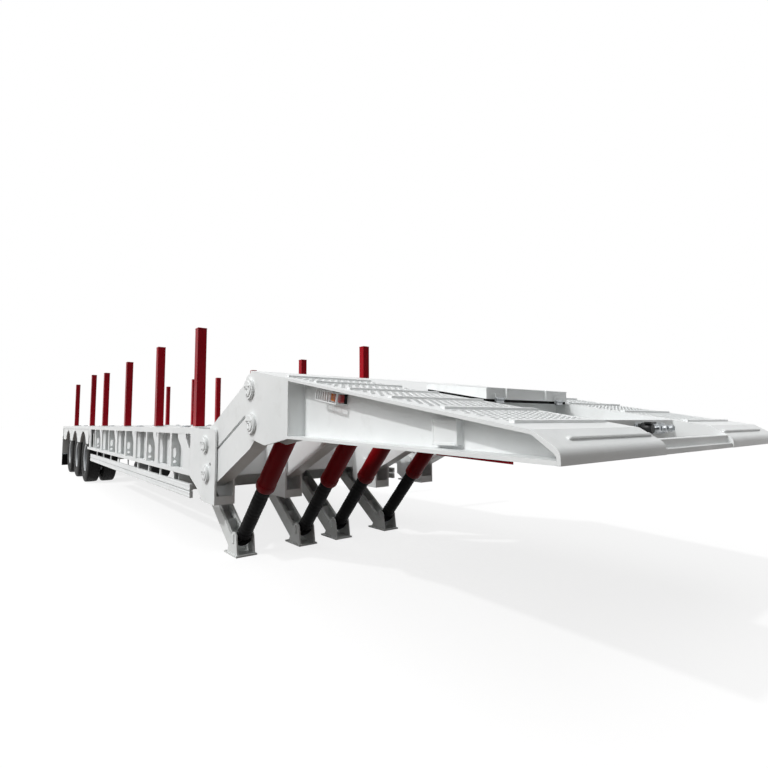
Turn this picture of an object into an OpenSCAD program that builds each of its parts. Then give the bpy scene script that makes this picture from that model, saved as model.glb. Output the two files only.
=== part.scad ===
// Three-axle low-loader trailer with stake sides. Its ramp-topped gooseneck is carried on
// parallel links and lifted by four cylinders that stand on the parking feet.
// Lengths along x are stations: 0 is the first stake, + is towards the nose.

/* [Deck] */
// Width of the deck over the side rails
deck_w = 2500; // [2400:10:2600]
// Height of the deck surface when the trailer is parked
deck_z = 1170; // [1120:5:1230]
// Thickness of the deck plate
floor_t = 8; // [5:1:12]
// Station of the deck's rear end
rear_x = -10900; // [-11400:10:-10700]
// Height of the two main beams
beam_h = 440; // [400:5:460]
// Sideways place of each main beam and of the link above it
beam_y = 520; // [500:5:540]
// Width of a beam flange
beam_flange_w = 160; // [140:5:180]
// Thickness of a beam flange
beam_flange_t = 20; // [14:1:26]
// Thickness of a beam web
beam_web_t = 12; // [8:1:16]
// Height of the upper side rail
rail_h = 50; // [45:5:70]
// Height of the lower side rail
low_rail_h = 45; // [35:5:60]
// Depth of the side rails across the deck
rail_d = 60; // [50:5:70]
// Thickness of an outrigger plate
outrigger_t = 12; // [8:1:16]

/* [Stakes] */
// Width of a square stake
stake_w = 90; // [80:1:100]
// Height of a stake above the deck
stake_h = 1030; // [900:10:1200]
// Distance from a side rail's inner face to the middle of a stake
stake_inset = 140; // [130:5:160]
// Wall of the pocket that holds a stake
pocket_t = 8; // [5:1:12]
// Depth of a pocket under the deck surface
pocket_depth = 300; // [250:10:330]
// Gap on each side of a stake in its pocket
stake_gap = 2; // [1:0.5:3]

/* [Front links] */
// Station of the deck's front bulkhead face
bulkhead_x = 600; // [560:5:640]
// Depth of the bulkhead box beam
bulkhead_d = 250; // [200:10:300]
// Station of the front edge of the link brackets
bracket_x = 1020; // [1000:5:1050]
// Height of the lower edge of the link brackets
bracket_z = 531; // [520:1:545]
// Thickness of each bracket and clevis plate
plate_t = 16; // [12:1:20]
// Width of a link across the trailer
link_w = 126; // [110:1:130]
// Side gap between a link and its clevis plates
link_gap = 8; // [6:1:10]
// Half depth of a link and radius of its ends
link_r = 110; // [100:1:112]
// Extra depth of the lower link under its ends
link_belly = 22; // [10:1:30]
// Distance between the two pins of a link
link_len = 1035; // [1000:5:1080]
// Angle of the links above level, with the gooseneck raised
link_angle = 24.5; // [20:0.5:26]
// Radius of a link pin
pin_r = 38; // [30:1:45]
// Radius of the collar on the outer end of an outer pin
collar_r = 75; // [65:1:80]
// Radius of the retaining ring on the other pin ends
ring_r = 52; // [46:1:58]
// Thickness of the collar
collar_t = 22; // [14:1:26]
// Height of the stop plate at the bottom of a bracket
stop_h = 70; // [50:1:75]

/* [Gooseneck] */
// Station of the nose lip
nose_x = 4190; // [4150:5:4250]
// Height of the ramp at its rear edge
ramp_rear_z = 1590; // [1588:1:1600]
// Height of the ramp where the nose bevel starts
ramp_front_z = 1178; // [1165:1:1190]
// Length of the nose bevel along the trailer
bevel_l = 110; // [90:5:140]
// Height of the top of the nose lip
lip_z = 1110; // [1100:1:1120]
// Height of the lower edge of the nose
nose_z = 1060; // [1050:1:1070]
// Height of the lower edge behind the front cheek
chin_z = 1108; // [1095:1:1115]
// Thickness of the ramp plate and of the side flanges
edge_t = 16; // [12:1:20]
// Depth of the recess outside the gooseneck's web
recess_d = 120; // [90:5:150]
// Half width of the centre opening between the two tracks
track_in = 449; // [440:1:460]
// Height of a tread rib above the ramp plate
rib_h = 12; // [8:1:16]
// Width of a tread rib
rib_w = 26; // [16:1:34]
// Distance between tread ribs
rib_pitch = 360; // [300:5:400]

/* [Cylinders] */
// Outer radius of a barrel
barrel_r = 80; // [76:1:82]
// Radius of the sleeved rod
sleeve_r = 65; // [55:1:66]
// Length of a barrel from its eye to its open end
barrel_l = 1000; // [950:5:1020]
// Length of a rod from its eye to its inner end
rod_l = 1100; // [1080:5:1110]
// Sideways place of the outer cylinders, as a share of half the deck
cyl_out = 0.68; // [0.66:0.01:0.7]
// Sideways place of the inner cylinders, as a share of half the deck
cyl_in = 0.17; // [0.16:0.01:0.18]
// Radius of the cylinder pins
cyl_pin_r = 32; // [26:1:36]
// Width of a cylinder eye
eye_w = 96; // [80:2:100]

/* [Feet] */
// Length of a foot plate along the trailer
foot_l = 300; // [290:5:330]
// Width of a foot plate
foot_w = 200; // [190:5:230]
// Thickness of a foot plate
foot_t = 16; // [10:1:20]
// Station of the front edge of a foot plate
foot_x = 760; // [740:5:790]
// Depth of the channel of an inclined leg
leg_d = 130; // [110:5:140]

/* [Wheels] */
// Outer radius of a tyre
tyre_r = 505; // [490:1:512]
// Width of a tyre
tyre_w = 258; // [240:1:266]
// Distance between the twin tyres
twin_pitch = 300; // [290:1:310]
// Distance over the outer tyre walls
track_w = 2400; // [2360:5:2420]
// Distance between axles
axle_pitch = 1350; // [1330:5:1400]
// Station of the first axle
axle_x = -7000; // [-7100:10:-6950]
// Radius of a rim's bead seat
rim_r = 257; // [250:1:264]

/* [Hidden] */
$fn = 64;
cut = 1;
paint = "#f2f3f1";
shade = "#8b8d8f";
red = "#a51322";
black = "#17171a";
amber = "#d9571c";
silver = "#c8cbcd";

half_w = deck_w / 2;
rear_lamp_t = 30;
x_mid = (nose_x + rear_x - rear_lamp_t) / 2;
frame_top = deck_z - floor_t;
beam_low = frame_top - beam_h;
rail_low = frame_top - rail_h;
bulkhead_back = bulkhead_x - bulkhead_d;
rear_beam_d = 120;
beam_end = rear_x + rear_beam_d;
flange_edge = beam_y + beam_flange_w / 2;
web_face = beam_y + beam_web_t / 2;
rail_in = half_w - rail_d;

// Pins of the parallel links: lower deck pin, then the step up to the upper one
low_pin = [815, 777];
pin_step = [-40, 250];
link_dir = [cos(link_angle), sin(link_angle)];
up_pin = low_pin + pin_step;
neck_low_pin = low_pin + link_len * link_dir;
neck_up_pin = up_pin + link_len * link_dir;
clevis_r = 114;
clevis_half = link_w / 2 + link_gap;
link_out_y = half_w - plate_t - clevis_half;
link_ys = [-link_out_y, -beam_y, beam_y, link_out_y];

// Cylinder line, from the eye in the gooseneck down to the eye in the foot
eye_top = [1800, 1390];
eye_low = [660, 152];
eye_span = eye_top - eye_low;
cyl_len = norm(eye_span);
cyl_angle = atan2(eye_span[1], eye_span[0]);
eye_r = 80;
cyl_ys = half_w * [-cyl_out, -cyl_in, cyl_in, cyl_out];
bore_gap = 6;
bore_r = sleeve_r + bore_gap;
barrel_floor = 190;
gland_l = 45;
gland_gap = 0.3;
rod_eye_r = 65;
rod_eye_clear = 20;

// Gooseneck outline
bevel_x = nose_x - bevel_l;
ramp_x = neck_up_pin[0];
cheek_x = 2300;
return_x = cheek_x - plate_t;
chin_x = 1968;
chin_low_z = 1056;
web_y = half_w - recess_d;
web_t = 12;
neck_box_x = 1985;
neck_box_d = 200;
flange_in = web_y - 90;

// Wheels and axles
axle_z = tyre_r;
axle_xs = [for (i = [0:2]) axle_x - i * axle_pitch];
tyre_out_y = track_w / 2 - tyre_w / 2;
spindle_r = 34;
run_gap = 0.1;
axle_r = 64;
hub_r = 112;
disc_y = tyre_out_y - twin_pitch / 2;
drum_r = 200;
drum_w = 160;
drum_in = disc_y - 321;
spindle_end = disc_y + 164;

// Stakes: station on the right side, station on the left side, depth of the pocket, and how far
// a stake is packed up in its pocket
STATION_RIGHT = 0;
STATION_LEFT = 1;
DEPTH = 2;
PACKED_UP = 3;
shallow_depth = 130;
stake_rows = [
    [-40, -20, pocket_depth, 0],
    [-1630, -1660, pocket_depth, 0],
    [-3540, -3540, pocket_depth, 0],
    [-5610, -5400, pocket_depth, 0],
    [-7210, -7060, shallow_depth, 90],
    [-9880, -9340, shallow_depth, 50]];
pocket_w = stake_w + 2 * stake_gap + 2 * pocket_t;
stake_y = rail_in - stake_inset;
sides = [-1, 1];

function ramp_z(x) = ramp_rear_z - (ramp_rear_z - ramp_front_z) * (x - ramp_x) / (bevel_x - ramp_x);
coupling_z = 1070;
middle_z = 1160;
nose_in = nose_x - edge_t;
function chin_line(x) = chin_low_z + (chin_z - chin_low_z) * (x - chin_x) / (cheek_x - chin_x);
function belly_z(x) = chin_z - (chin_z - nose_z) * (x - cheek_x) / (nose_x - cheek_x);

module place() translate([-x_mid, 0, 0]) children();
// Extrudes a side outline, drawn as [x, z], from y = a to y = b
module side_plate(a, b) translate([0, b, 0]) rotate([90, 0, 0]) linear_extrude(b - a) children();
module bar_y(x, z, r, a, b) translate([x, b, z]) rotate([90, 0, 0]) cylinder(r = r, h = b - a);
module both_sides() for (s = sides) scale([1, s, 1]) children();
module box(a, b) translate(a) cube(b - a);

module i_beam(y, xa, xb) {
    box([xa, y - beam_flange_w / 2, beam_low], [xb, y + beam_flange_w / 2, beam_low + beam_flange_t]);
    box([xa, y - beam_flange_w / 2, frame_top - beam_flange_t], [xb, y + beam_flange_w / 2, frame_top]);
    box([xa, y - beam_web_t / 2, beam_low], [xb, y + beam_web_t / 2, frame_top]);
}

module main_beams() color(paint) place() {
    for (s = sides) i_beam(s * beam_y, beam_end, bulkhead_back);
}

// Outrigger outline, drawn as [y, z], from the beam's web to the side rail
hole_y = 330;
hole_z = deck_z - 225;
hole_r = 95;
small_hole_y = 120;
small_hole_drop = 120;
small_hole_r = 32;
middle_hole_r = 140;
out_z = beam_low;
module outrigger_shape() difference() {
    polygon([[web_face, beam_low + beam_flange_t], [flange_edge, beam_low + beam_flange_t],
        [flange_edge, out_z], [rail_in, out_z], [rail_in, frame_top],
        [flange_edge, frame_top], [flange_edge, frame_top - beam_flange_t],
        [web_face, frame_top - beam_flange_t]]);
    translate([flange_edge + hole_y, hole_z]) circle(r = hole_r);
    translate([flange_edge + hole_y + small_hole_y, hole_z - small_hole_drop]) circle(r = small_hole_r);
}
module cross_plate(x) {
    for (s = sides) scale([1, s, 1]) translate([x, 0, 0]) rotate([90, 0, 90])
        linear_extrude(outrigger_t, center = true) outrigger_shape();
    difference() {
        box([x - outrigger_t / 2, -beam_y + beam_web_t / 2, beam_low + beam_flange_t],
            [x + outrigger_t / 2, beam_y - beam_web_t / 2, frame_top - beam_flange_t]);
        translate([x, 0, hole_z]) rotate([0, 90, 0]) cylinder(r = middle_hole_r, h = 3 * outrigger_t, center = true);
    }
}
apron_x = axle_x + 780;
outriggers_per_bay = 3;
outrigger_xs = [for (i = [0:len(stake_rows) - 2], k = [0:outriggers_per_bay - 1])
    let (a = stake_rows[i][STATION_RIGHT], b = stake_rows[i + 1][STATION_RIGHT],
        x = a + (b - a) * (k + 0.5) / outriggers_per_bay) if (x > apron_x + 60) x];
module outriggers() color(paint) place() {
    for (x = outrigger_xs) cross_plate(x);
    for (x = axle_xs) difference() {
        box([x - outrigger_t / 2 + axle_pitch / 2, -beam_y + beam_web_t / 2, beam_low + beam_flange_t],
            [x + outrigger_t / 2 + axle_pitch / 2, beam_y - beam_web_t / 2, frame_top - beam_flange_t]);
        translate([x + axle_pitch / 2, 0, hole_z]) rotate([0, 90, 0])
            cylinder(r = middle_hole_r, h = 3 * outrigger_t, center = true);
    }
}

module side_rails() color(paint) place() both_sides() {
    difference() {
        box([beam_end, rail_in, rail_low], [bulkhead_back, half_w, frame_top]);
        box([beam_end - cut, rail_in - cut, rail_low + 12], [bulkhead_back + cut, half_w - 12, frame_top - 12]);
    }
    box([apron_x, rail_in, out_z], [bulkhead_back, half_w, out_z + low_rail_h]);
    for (x = outrigger_xs) box([x - 30, half_w - 20, out_z + low_rail_h], [x + 30, half_w, rail_low]);
}

module at_stakes() for (row = stake_rows) {
    $depth = row[DEPTH];
    $lift = row[PACKED_UP];
    translate([row[STATION_RIGHT], -stake_y, 0]) children();
    translate([row[STATION_LEFT], stake_y, 0]) children();
}
module upright(w, z0, z1) translate([-w / 2, -w / 2, z0]) cube([w, w, z1 - z0]);

module deck_floor() color(paint) place() difference() {
    box([rear_x, -half_w, frame_top], [bulkhead_x, half_w, deck_z]);
    at_stakes() upright(pocket_w, frame_top - cut, deck_z + cut);
}

module stake_pockets() color(paint) place() {
    at_stakes() difference() {
        upright(pocket_w, deck_z - $depth, deck_z);
        upright(pocket_w - 2 * pocket_t, deck_z - $depth + pocket_t, deck_z + cut);
    }
}

stake_wall = 6;
module stakes() color(red) place() at_stakes() difference() {
    upright(stake_w, deck_z - $depth + pocket_t, deck_z + stake_h + $lift);
    upright(stake_w - 2 * stake_wall, deck_z - $depth, deck_z + stake_h + $lift - stake_wall);
}

bulkhead_t = 14;
module front_bulkhead() color(paint) place() {
    difference() {
        box([bulkhead_back, -half_w + plate_t, beam_low], [bulkhead_x, half_w - plate_t, frame_top]);
        box([bulkhead_back + bulkhead_t, -half_w + plate_t + bulkhead_t, beam_low + bulkhead_t],
            [bulkhead_x - bulkhead_t, half_w - plate_t - bulkhead_t, frame_top - bulkhead_t]);
    }
}

// Outline of the outer cheek of the deck, drawn as [x, z]
corner_r = 60;
toe_x = 740;
toe_back_x = 550;
toe_back_z = 640;
cheek_hole_x = 904;
cheek_hole_z = 862;
cheek_hole_r = 16;
module cheek_shape() difference() {
    union() {
        polygon([[bulkhead_back, frame_top], [bracket_x - corner_r, frame_top],
            [bracket_x - corner_r, frame_top - corner_r], [bracket_x, frame_top - corner_r], [bracket_x, bracket_z],
            [toe_x, bracket_z], [toe_back_x, toe_back_z], [bulkhead_back, out_z]]);
        translate([bracket_x - corner_r, frame_top - corner_r]) circle(r = corner_r);
    }
    for (p = [up_pin, low_pin]) translate(p) circle(r = pin_r);
    translate([cheek_hole_x, cheek_hole_z]) circle(r = cheek_hole_r);
}
module inner_bracket_shape() intersection() {
    cheek_shape();
    translate([bulkhead_x, bracket_z]) square([bracket_x - bulkhead_x, frame_top - bracket_z]);
}
module bracket_pair(y) {
    for (s = sides) side_plate(y + s * (clevis_half + plate_t / 2) - plate_t / 2,
        y + s * (clevis_half + plate_t / 2) + plate_t / 2) inner_bracket_shape();
    box([bracket_x - plate_t, y - clevis_half, bracket_z], [bracket_x, y + clevis_half, bracket_z + stop_h]);
    box([bulkhead_x, y - clevis_half, bracket_z], [bracket_x - plate_t, y + clevis_half, bracket_z + plate_t]);
}
module link_brackets() color(paint) place() {
    for (y = link_ys) bracket_pair(y);
    for (s = sides) side_plate(s > 0 ? half_w - plate_t : -half_w, s > 0 ? half_w : -half_w + plate_t)
        cheek_shape();
}

module pin_with_collars(p, y) {
    bar_y(p[0], p[1], pin_r, y - clevis_half - plate_t, y + clevis_half + plate_t);
    for (s = sides) {
        face = y + s * (clevis_half + plate_t);
        r = abs(face) > half_w - 1 ? collar_r : ring_r;
        bar_y(p[0], p[1], r, min(face, face + s * collar_t), max(face, face + s * collar_t));
    }
}
module deck_pins() color(silver) place() for (y = link_ys, p = [up_pin, low_pin]) pin_with_collars(p, y);

// Inclined leg, an I-section from a cross beam under the frame down to its foot
leg_beam_x = -420;
leg_beam_d = 220;
leg_beam_h = 200;
leg_wall = 12;
leg_flange_t = 16;
leg_back = leg_beam_x + leg_beam_d;
leg_front = 565;
leg_front_z = 170;
leg_slope = 0.67;
leg_drop = leg_d * sqrt(1 + leg_slope * leg_slope);
clevis_in = sleeve_r + 8;
function leg_z(x) = leg_front_z + leg_slope * (leg_front - x);
module leg_strip(top, low) polygon([[leg_front, max(foot_t, leg_z(leg_front) - low)], [leg_front, leg_z(leg_front) - top],
    [leg_back, leg_z(leg_back) - top], [leg_back, leg_z(leg_back) - low]]);
module support_legs() color(shade) place() {
    for (y = cyl_ys) {
        side_plate(y - leg_wall / 2, y + leg_wall / 2) leg_strip(0, leg_drop);
        side_plate(y - clevis_in, y + clevis_in) leg_strip(0, leg_flange_t);
        side_plate(y - clevis_in, y + clevis_in) leg_strip(leg_drop - leg_flange_t, leg_drop);
    }
    difference() {
        box([leg_beam_x, -rail_in, out_z - leg_beam_h], [leg_back, rail_in, out_z]);
        box([leg_beam_x + leg_wall, -rail_in - cut, out_z - leg_beam_h + leg_wall],
            [leg_back - leg_wall, rail_in + cut, out_z - leg_wall]);
    }
}

foot_lobe_r = 64;
foot_edge = 15;
foot_pin_r = 22;
foot_cheek_t = 14;
module foot_cheek_shape() difference() {
    union() {
        translate(eye_low) circle(r = foot_lobe_r);
        polygon([eye_low + [-foot_lobe_r, 0], eye_low + [foot_lobe_r, 0], [foot_x - foot_edge, foot_t],
            [foot_x - foot_l + 3 * foot_edge, foot_t]]);
    }
    translate(eye_low) circle(r = foot_pin_r);
}
module feet() color(shade) place() for (y = cyl_ys) {
    box([foot_x - foot_l, y - foot_w / 2, 0], [foot_x, y + foot_w / 2, foot_t]);
    for (s = sides) side_plate(y + s * (clevis_in + foot_cheek_t / 2) - foot_cheek_t / 2,
        y + s * (clevis_in + foot_cheek_t / 2) + foot_cheek_t / 2) foot_cheek_shape();
    bar_y(eye_low[0], eye_low[1], foot_pin_r, y - clevis_in - foot_cheek_t, y + clevis_in + foot_cheek_t);
}

guard_rear = -5800;
guard_y = half_w - 5;
guard_rails = [515, 582];
guard_rail_h = 60;
guard_t = 30;
guard_post_w = 40;
guard_post_t = 15;
module side_guards() color(paint) place() both_sides() {
    for (z = guard_rails) box([guard_rear, guard_y - guard_t, z], [bulkhead_back, guard_y, z + guard_rail_h]);
    for (x = outrigger_xs) if (x > guard_rear) box([x - guard_post_w / 2, guard_y - guard_t - guard_post_t, guard_rails[0]],
        [x + guard_post_w / 2, guard_y - guard_t, out_z]);
}

arch_r = 560;
apron_z = 820;
apron_t = 8;
apron_y = half_w - 20;
module apron_shape() difference() {
    translate([beam_end, apron_z]) square([apron_x - beam_end, rail_low - apron_z]);
    for (x = axle_xs) translate([x, axle_z]) circle(r = arch_r);
}
module wheel_aprons() color(paint) place() {
    for (s = sides) side_plate(s > 0 ? apron_y : -apron_y - apron_t, s > 0 ? apron_y + apron_t : -apron_y) apron_shape();
}

// Boards at the rear corners carry the lamps, and a flap hangs under each
board_in = 640;
board_z = 400;
board_top = beam_low + 180;
board_d = 40;
flap_t = 12;
flap_lap = 40;
flap_z = 110;
module mud_flaps() color(black) place() both_sides() {
    box([rear_x + board_d, board_in, flap_z], [rear_x + board_d + flap_t, half_w, board_z + flap_lap]);
}

bumper_z = 480;
bumper_h = 80;
module rear_beam() color(paint) place() {
    box([rear_x, -half_w, board_top], [beam_end, half_w, frame_top]);
    for (s = sides) box([rear_x, s * beam_y - board_d, bumper_z + bumper_h], [rear_x + 2 * board_d, s * beam_y + board_d, board_top]);
    box([rear_x, -board_in, bumper_z], [rear_x + 2 * board_d, board_in, bumper_z + bumper_h]);
    both_sides() box([rear_x, board_in, board_z], [rear_x + board_d, half_w, board_top]);
}
lamp_edge = 60;
lamp_w = 400;
lamp_z = 640;
lamp_h = 120;
module rear_lamps() color(red) place() both_sides() {
    box([rear_x - rear_lamp_t, half_w - lamp_edge - lamp_w, lamp_z], [rear_x, half_w - lamp_edge, lamp_z + lamp_h]);
}

module axles() color(shade) place() for (x = axle_xs) {
    bar_y(x, axle_z, axle_r, -drum_in, drum_in);
    for (s = sides) {
        bar_y(x, axle_z, spindle_r, min(s * drum_in, s * spindle_end), max(s * drum_in, s * spindle_end));
        bar_y(x, axle_z, drum_r, min(s * drum_in, s * (drum_in + drum_w)), max(s * drum_in, s * (drum_in + drum_w)));
    }
}

spring_w = 75;
spring_half = 650;
spring_z = 636;
leaf_t = 24;
spring_low_z = 585;
seat_half = 70;
seat_w = 120;
hanger_z = 620;
hanger_t = 12;
module spring_shape(x) polygon([[x - spring_half, spring_z], [x - spring_half, spring_z + leaf_t],
    [x, spring_z + leaf_t - 15], [x + spring_half, spring_z + leaf_t], [x + spring_half, spring_z],
    [x + 60, spring_low_z], [x - 60, spring_low_z]]);
module suspension() color(black) place() for (x = axle_xs, s = sides) {
    side_plate(s * beam_y - spring_w / 2, s * beam_y + spring_w / 2) spring_shape(x);
    difference() {
        box([x - seat_half, s * beam_y - seat_w / 2, axle_z + 15], [x + seat_half, s * beam_y + seat_w / 2, spring_low_z]);
        bar_y(x, axle_z, axle_r, s * beam_y - seat_w, s * beam_y + seat_w);
    }
    for (e = sides) bar_y(x + e * (spring_half - 15), spring_z + leaf_t / 2, 12,
        s * beam_y - spring_w / 2 - 14, s * beam_y + spring_w / 2 + 14);
    for (dx = axle_pitch / 2 * sides) for (t = sides)
        side_plate(s * beam_y + t * (spring_w / 2 + 8) - hanger_t / 2, s * beam_y + t * (spring_w / 2 + 8) + hanger_t / 2)
            polygon([[x + dx - 90, beam_low], [x + dx + 90, beam_low], [x + dx + 60, hanger_z], [x + dx - 60, hanger_z]]);
}

tank_x = -3350;
tank_l = 1100;
tank_y = -850;
tank_z = 560;
tank_r = 125;
strap_w = 50;
strap_half = 40;
module air_tank() color(black) place() {
    translate([tank_x, tank_y, tank_z]) rotate([0, 90, 0]) cylinder(r = tank_r, h = tank_l);
    for (x = outrigger_xs) if (x > tank_x && x < tank_x + tank_l)
        box([x - strap_w / 2, tank_y - strap_half, tank_z + tank_r - 15], [x + strap_w / 2, tank_y + strap_half, out_z]);
}

// A link lies along +x from its deck pin, and is turned to its raised angle
module link_shape(belly) difference() {
    union() {
        circle(r = link_r);
        translate([link_len, 0]) circle(r = link_r);
        translate([0, -link_r]) square([link_len, 2 * link_r]);
        polygon([[60, -link_r + 1], [160, -link_r - belly], [link_len - 160, -link_r - belly], [link_len - 60, -link_r + 1]]);
    }
    for (x = [0, link_len]) translate([x, 0]) circle(r = pin_r + run_gap);
}
module link(pin, y, belly) translate([pin[0], y, pin[1]]) rotate([0, -link_angle, 0]) {
    rotate([90, 0, 0]) linear_extrude(link_w, center = true) link_shape(belly);
}
module upper_links() color(paint) place() for (y = link_ys) link(up_pin, y, 0);
module lower_links() color(paint) place() for (y = link_ys) link(low_pin, y, link_belly);

// Outline of a gooseneck clevis plate up to its front edge, drawn as [x, z]
pin_line = neck_up_pin - neck_low_pin;
lobe_back = clevis_r * [-pin_line[1], pin_line[0]] / norm(pin_line);
module neck_shape(front_x, top_drop) difference() {
    union() {
        for (p = [neck_up_pin, neck_low_pin]) translate(p) circle(r = clevis_r);
        polygon([neck_up_pin + lobe_back, neck_low_pin + lobe_back, neck_low_pin + [0, -clevis_r],
            [chin_x, chin_low_z], [front_x, chin_line(front_x)],
            [front_x, ramp_z(front_x) - top_drop], [ramp_x, ramp_z(ramp_x) - top_drop], neck_up_pin + [0, clevis_r]]);
    }
    for (p = [neck_up_pin, neck_low_pin]) translate(p) circle(r = pin_r);
}
module sloped_strip(xa, xb, t, a, b) side_plate(a, b) polygon([[xa, ramp_z(xa)], [xb, ramp_z(xb)],
    [xb, ramp_z(xb) - t], [xa, ramp_z(xa) - t]]);
// Tread ribs across the ramp, let into it a little
rib_x = bevel_x - 150;
rib_sink = 2;
module ribs(a, b) for (i = [0:5]) let (x = rib_x - i * rib_pitch, e = x + rib_w) side_plate(a, b)
    polygon([[x, ramp_z(x) - rib_sink], [e, ramp_z(e) - rib_sink], [e, ramp_z(e) + rib_h], [x, ramp_z(x) + rib_h]]);
module gooseneck_beams() color(paint) place() both_sides() {
    side_plate(half_w - plate_t, half_w) neck_shape(cheek_x, edge_t);
    side_plate(web_y - web_t, web_y) polygon([[return_x, chin_z + edge_t], [cheek_x, chin_z + edge_t],
        [nose_in, belly_z(nose_in) + edge_t], [nose_in, lip_z - edge_t], [bevel_x, ramp_z(bevel_x) - edge_t],
        [return_x, ramp_z(return_x) - edge_t]]);
    side_plate(web_y, half_w - plate_t) polygon([[return_x, chin_z + edge_t], [cheek_x, chin_z + edge_t],
        [cheek_x, ramp_z(cheek_x) - edge_t], [return_x, ramp_z(return_x) - edge_t]]);
    sloped_strip(ramp_x, bevel_x, edge_t, flange_in, half_w);
    ribs(flange_in, half_w - 80);
    side_plate(flange_in, half_w) polygon([[return_x, chin_z], [cheek_x, chin_z], [nose_in, belly_z(nose_in)],
        [nose_in, belly_z(nose_in) + edge_t], [cheek_x, chin_z + edge_t], [return_x, chin_z + edge_t]]);
}

neck_inner_ys = [beam_y - clevis_half - plate_t / 2, beam_y + clevis_half + plate_t / 2,
    link_out_y - clevis_half - plate_t / 2];
neck_box_front = neck_box_x + neck_box_d;
cross_xs = [for (i = [0:3]) bevel_x - 380 - i * rib_pitch];
// The frame's sloped edges lie just under the plates that they carry
seat_gap = 0.05;
seat_drop = edge_t + seat_gap;
box_t = 14;
module gooseneck_frame() color(paint) place() {
    both_sides() {
        for (y = neck_inner_ys) side_plate(y - plate_t / 2, y + plate_t / 2) neck_shape(neck_box_front, seat_drop);
        side_plate(neck_inner_ys[0] - plate_t / 2, neck_inner_ys[0] + plate_t / 2)
            polygon([[neck_box_front, coupling_z], [nose_in, coupling_z], [nose_in, lip_z - seat_drop],
                [bevel_x, ramp_z(bevel_x) - seat_drop], [neck_box_front, ramp_z(neck_box_front) - seat_drop]]);
        for (x = cross_xs) side_plate(neck_inner_ys[0] + plate_t / 2, web_y - web_t)
            polygon([[x, chin_z + edge_t], [x + web_t, chin_z + edge_t], [x + web_t, ramp_z(x + web_t) - seat_drop],
                [x, ramp_z(x) - seat_drop]]);
    }
    side_plate(-half_w + plate_t, half_w - plate_t) difference() {
        polygon([[neck_box_x, chin_z], [neck_box_front, chin_z],
            [neck_box_front, ramp_z(neck_box_front) - seat_drop], [neck_box_x, ramp_z(neck_box_x) - seat_drop]]);
        polygon([[neck_box_x + box_t, chin_z + box_t], [neck_box_front - box_t, chin_z + box_t],
            [neck_box_front - box_t, ramp_z(neck_box_front) - seat_drop - box_t],
            [neck_box_x + box_t, ramp_z(neck_box_x) - seat_drop - box_t]]);
    }
    for (x = cross_xs) side_plate(-neck_inner_ys[0] + plate_t / 2, neck_inner_ys[0] - plate_t / 2)
        polygon([[x, coupling_z + web_t], [x + web_t, coupling_z + web_t], [x + web_t, middle_z], [x, middle_z]]);
}

module ramp_decks() color(paint) place() both_sides() {
    sloped_strip(ramp_x, bevel_x, edge_t, track_in - plate_t, flange_in);
    ribs(track_in + 30, flange_in);
}

stop_bar = 14;
bar_out = 1112;
bar_in = 460;
module nose_plates() color(paint) place() {
    both_sides() side_plate(track_in - plate_t, half_w) polygon([[bevel_x, ramp_front_z], [nose_x, lip_z], [nose_x, nose_z],
        [nose_in, nose_z], [nose_in, lip_z - edge_t], [bevel_x, ramp_front_z - edge_t]]);
    // Raised bar across each bevel
    both_sides() side_plate(bar_in, bar_out) translate([bevel_x + bevel_l / 2, (ramp_front_z + lip_z) / 2])
        rotate(-atan((ramp_front_z - lip_z) / bevel_l)) translate([-stop_bar / 2, -4]) square(stop_bar);
    // Low beam across the opening between the tracks
    side_plate(-track_in + plate_t, track_in - plate_t) polygon([[nose_x - 75, nose_z], [nose_x - 5, nose_z],
        [nose_x - 5, nose_z + 26], [nose_x - 25, nose_z + 26], [nose_x - 25, nose_z + 67], [nose_x - 75, nose_z + 67]]);
}

kingpin_x = 3330;
kingpin_r = 25.4;
kingpin_l = 84;
module coupling_plate() color(shade) place() {
    box([kingpin_x - 430, -track_in + plate_t, coupling_z], [kingpin_x + 570, track_in - plate_t, coupling_z + web_t]);
    translate([kingpin_x, 0, coupling_z - kingpin_l]) cylinder(r = kingpin_r, h = kingpin_l);
}
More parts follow.
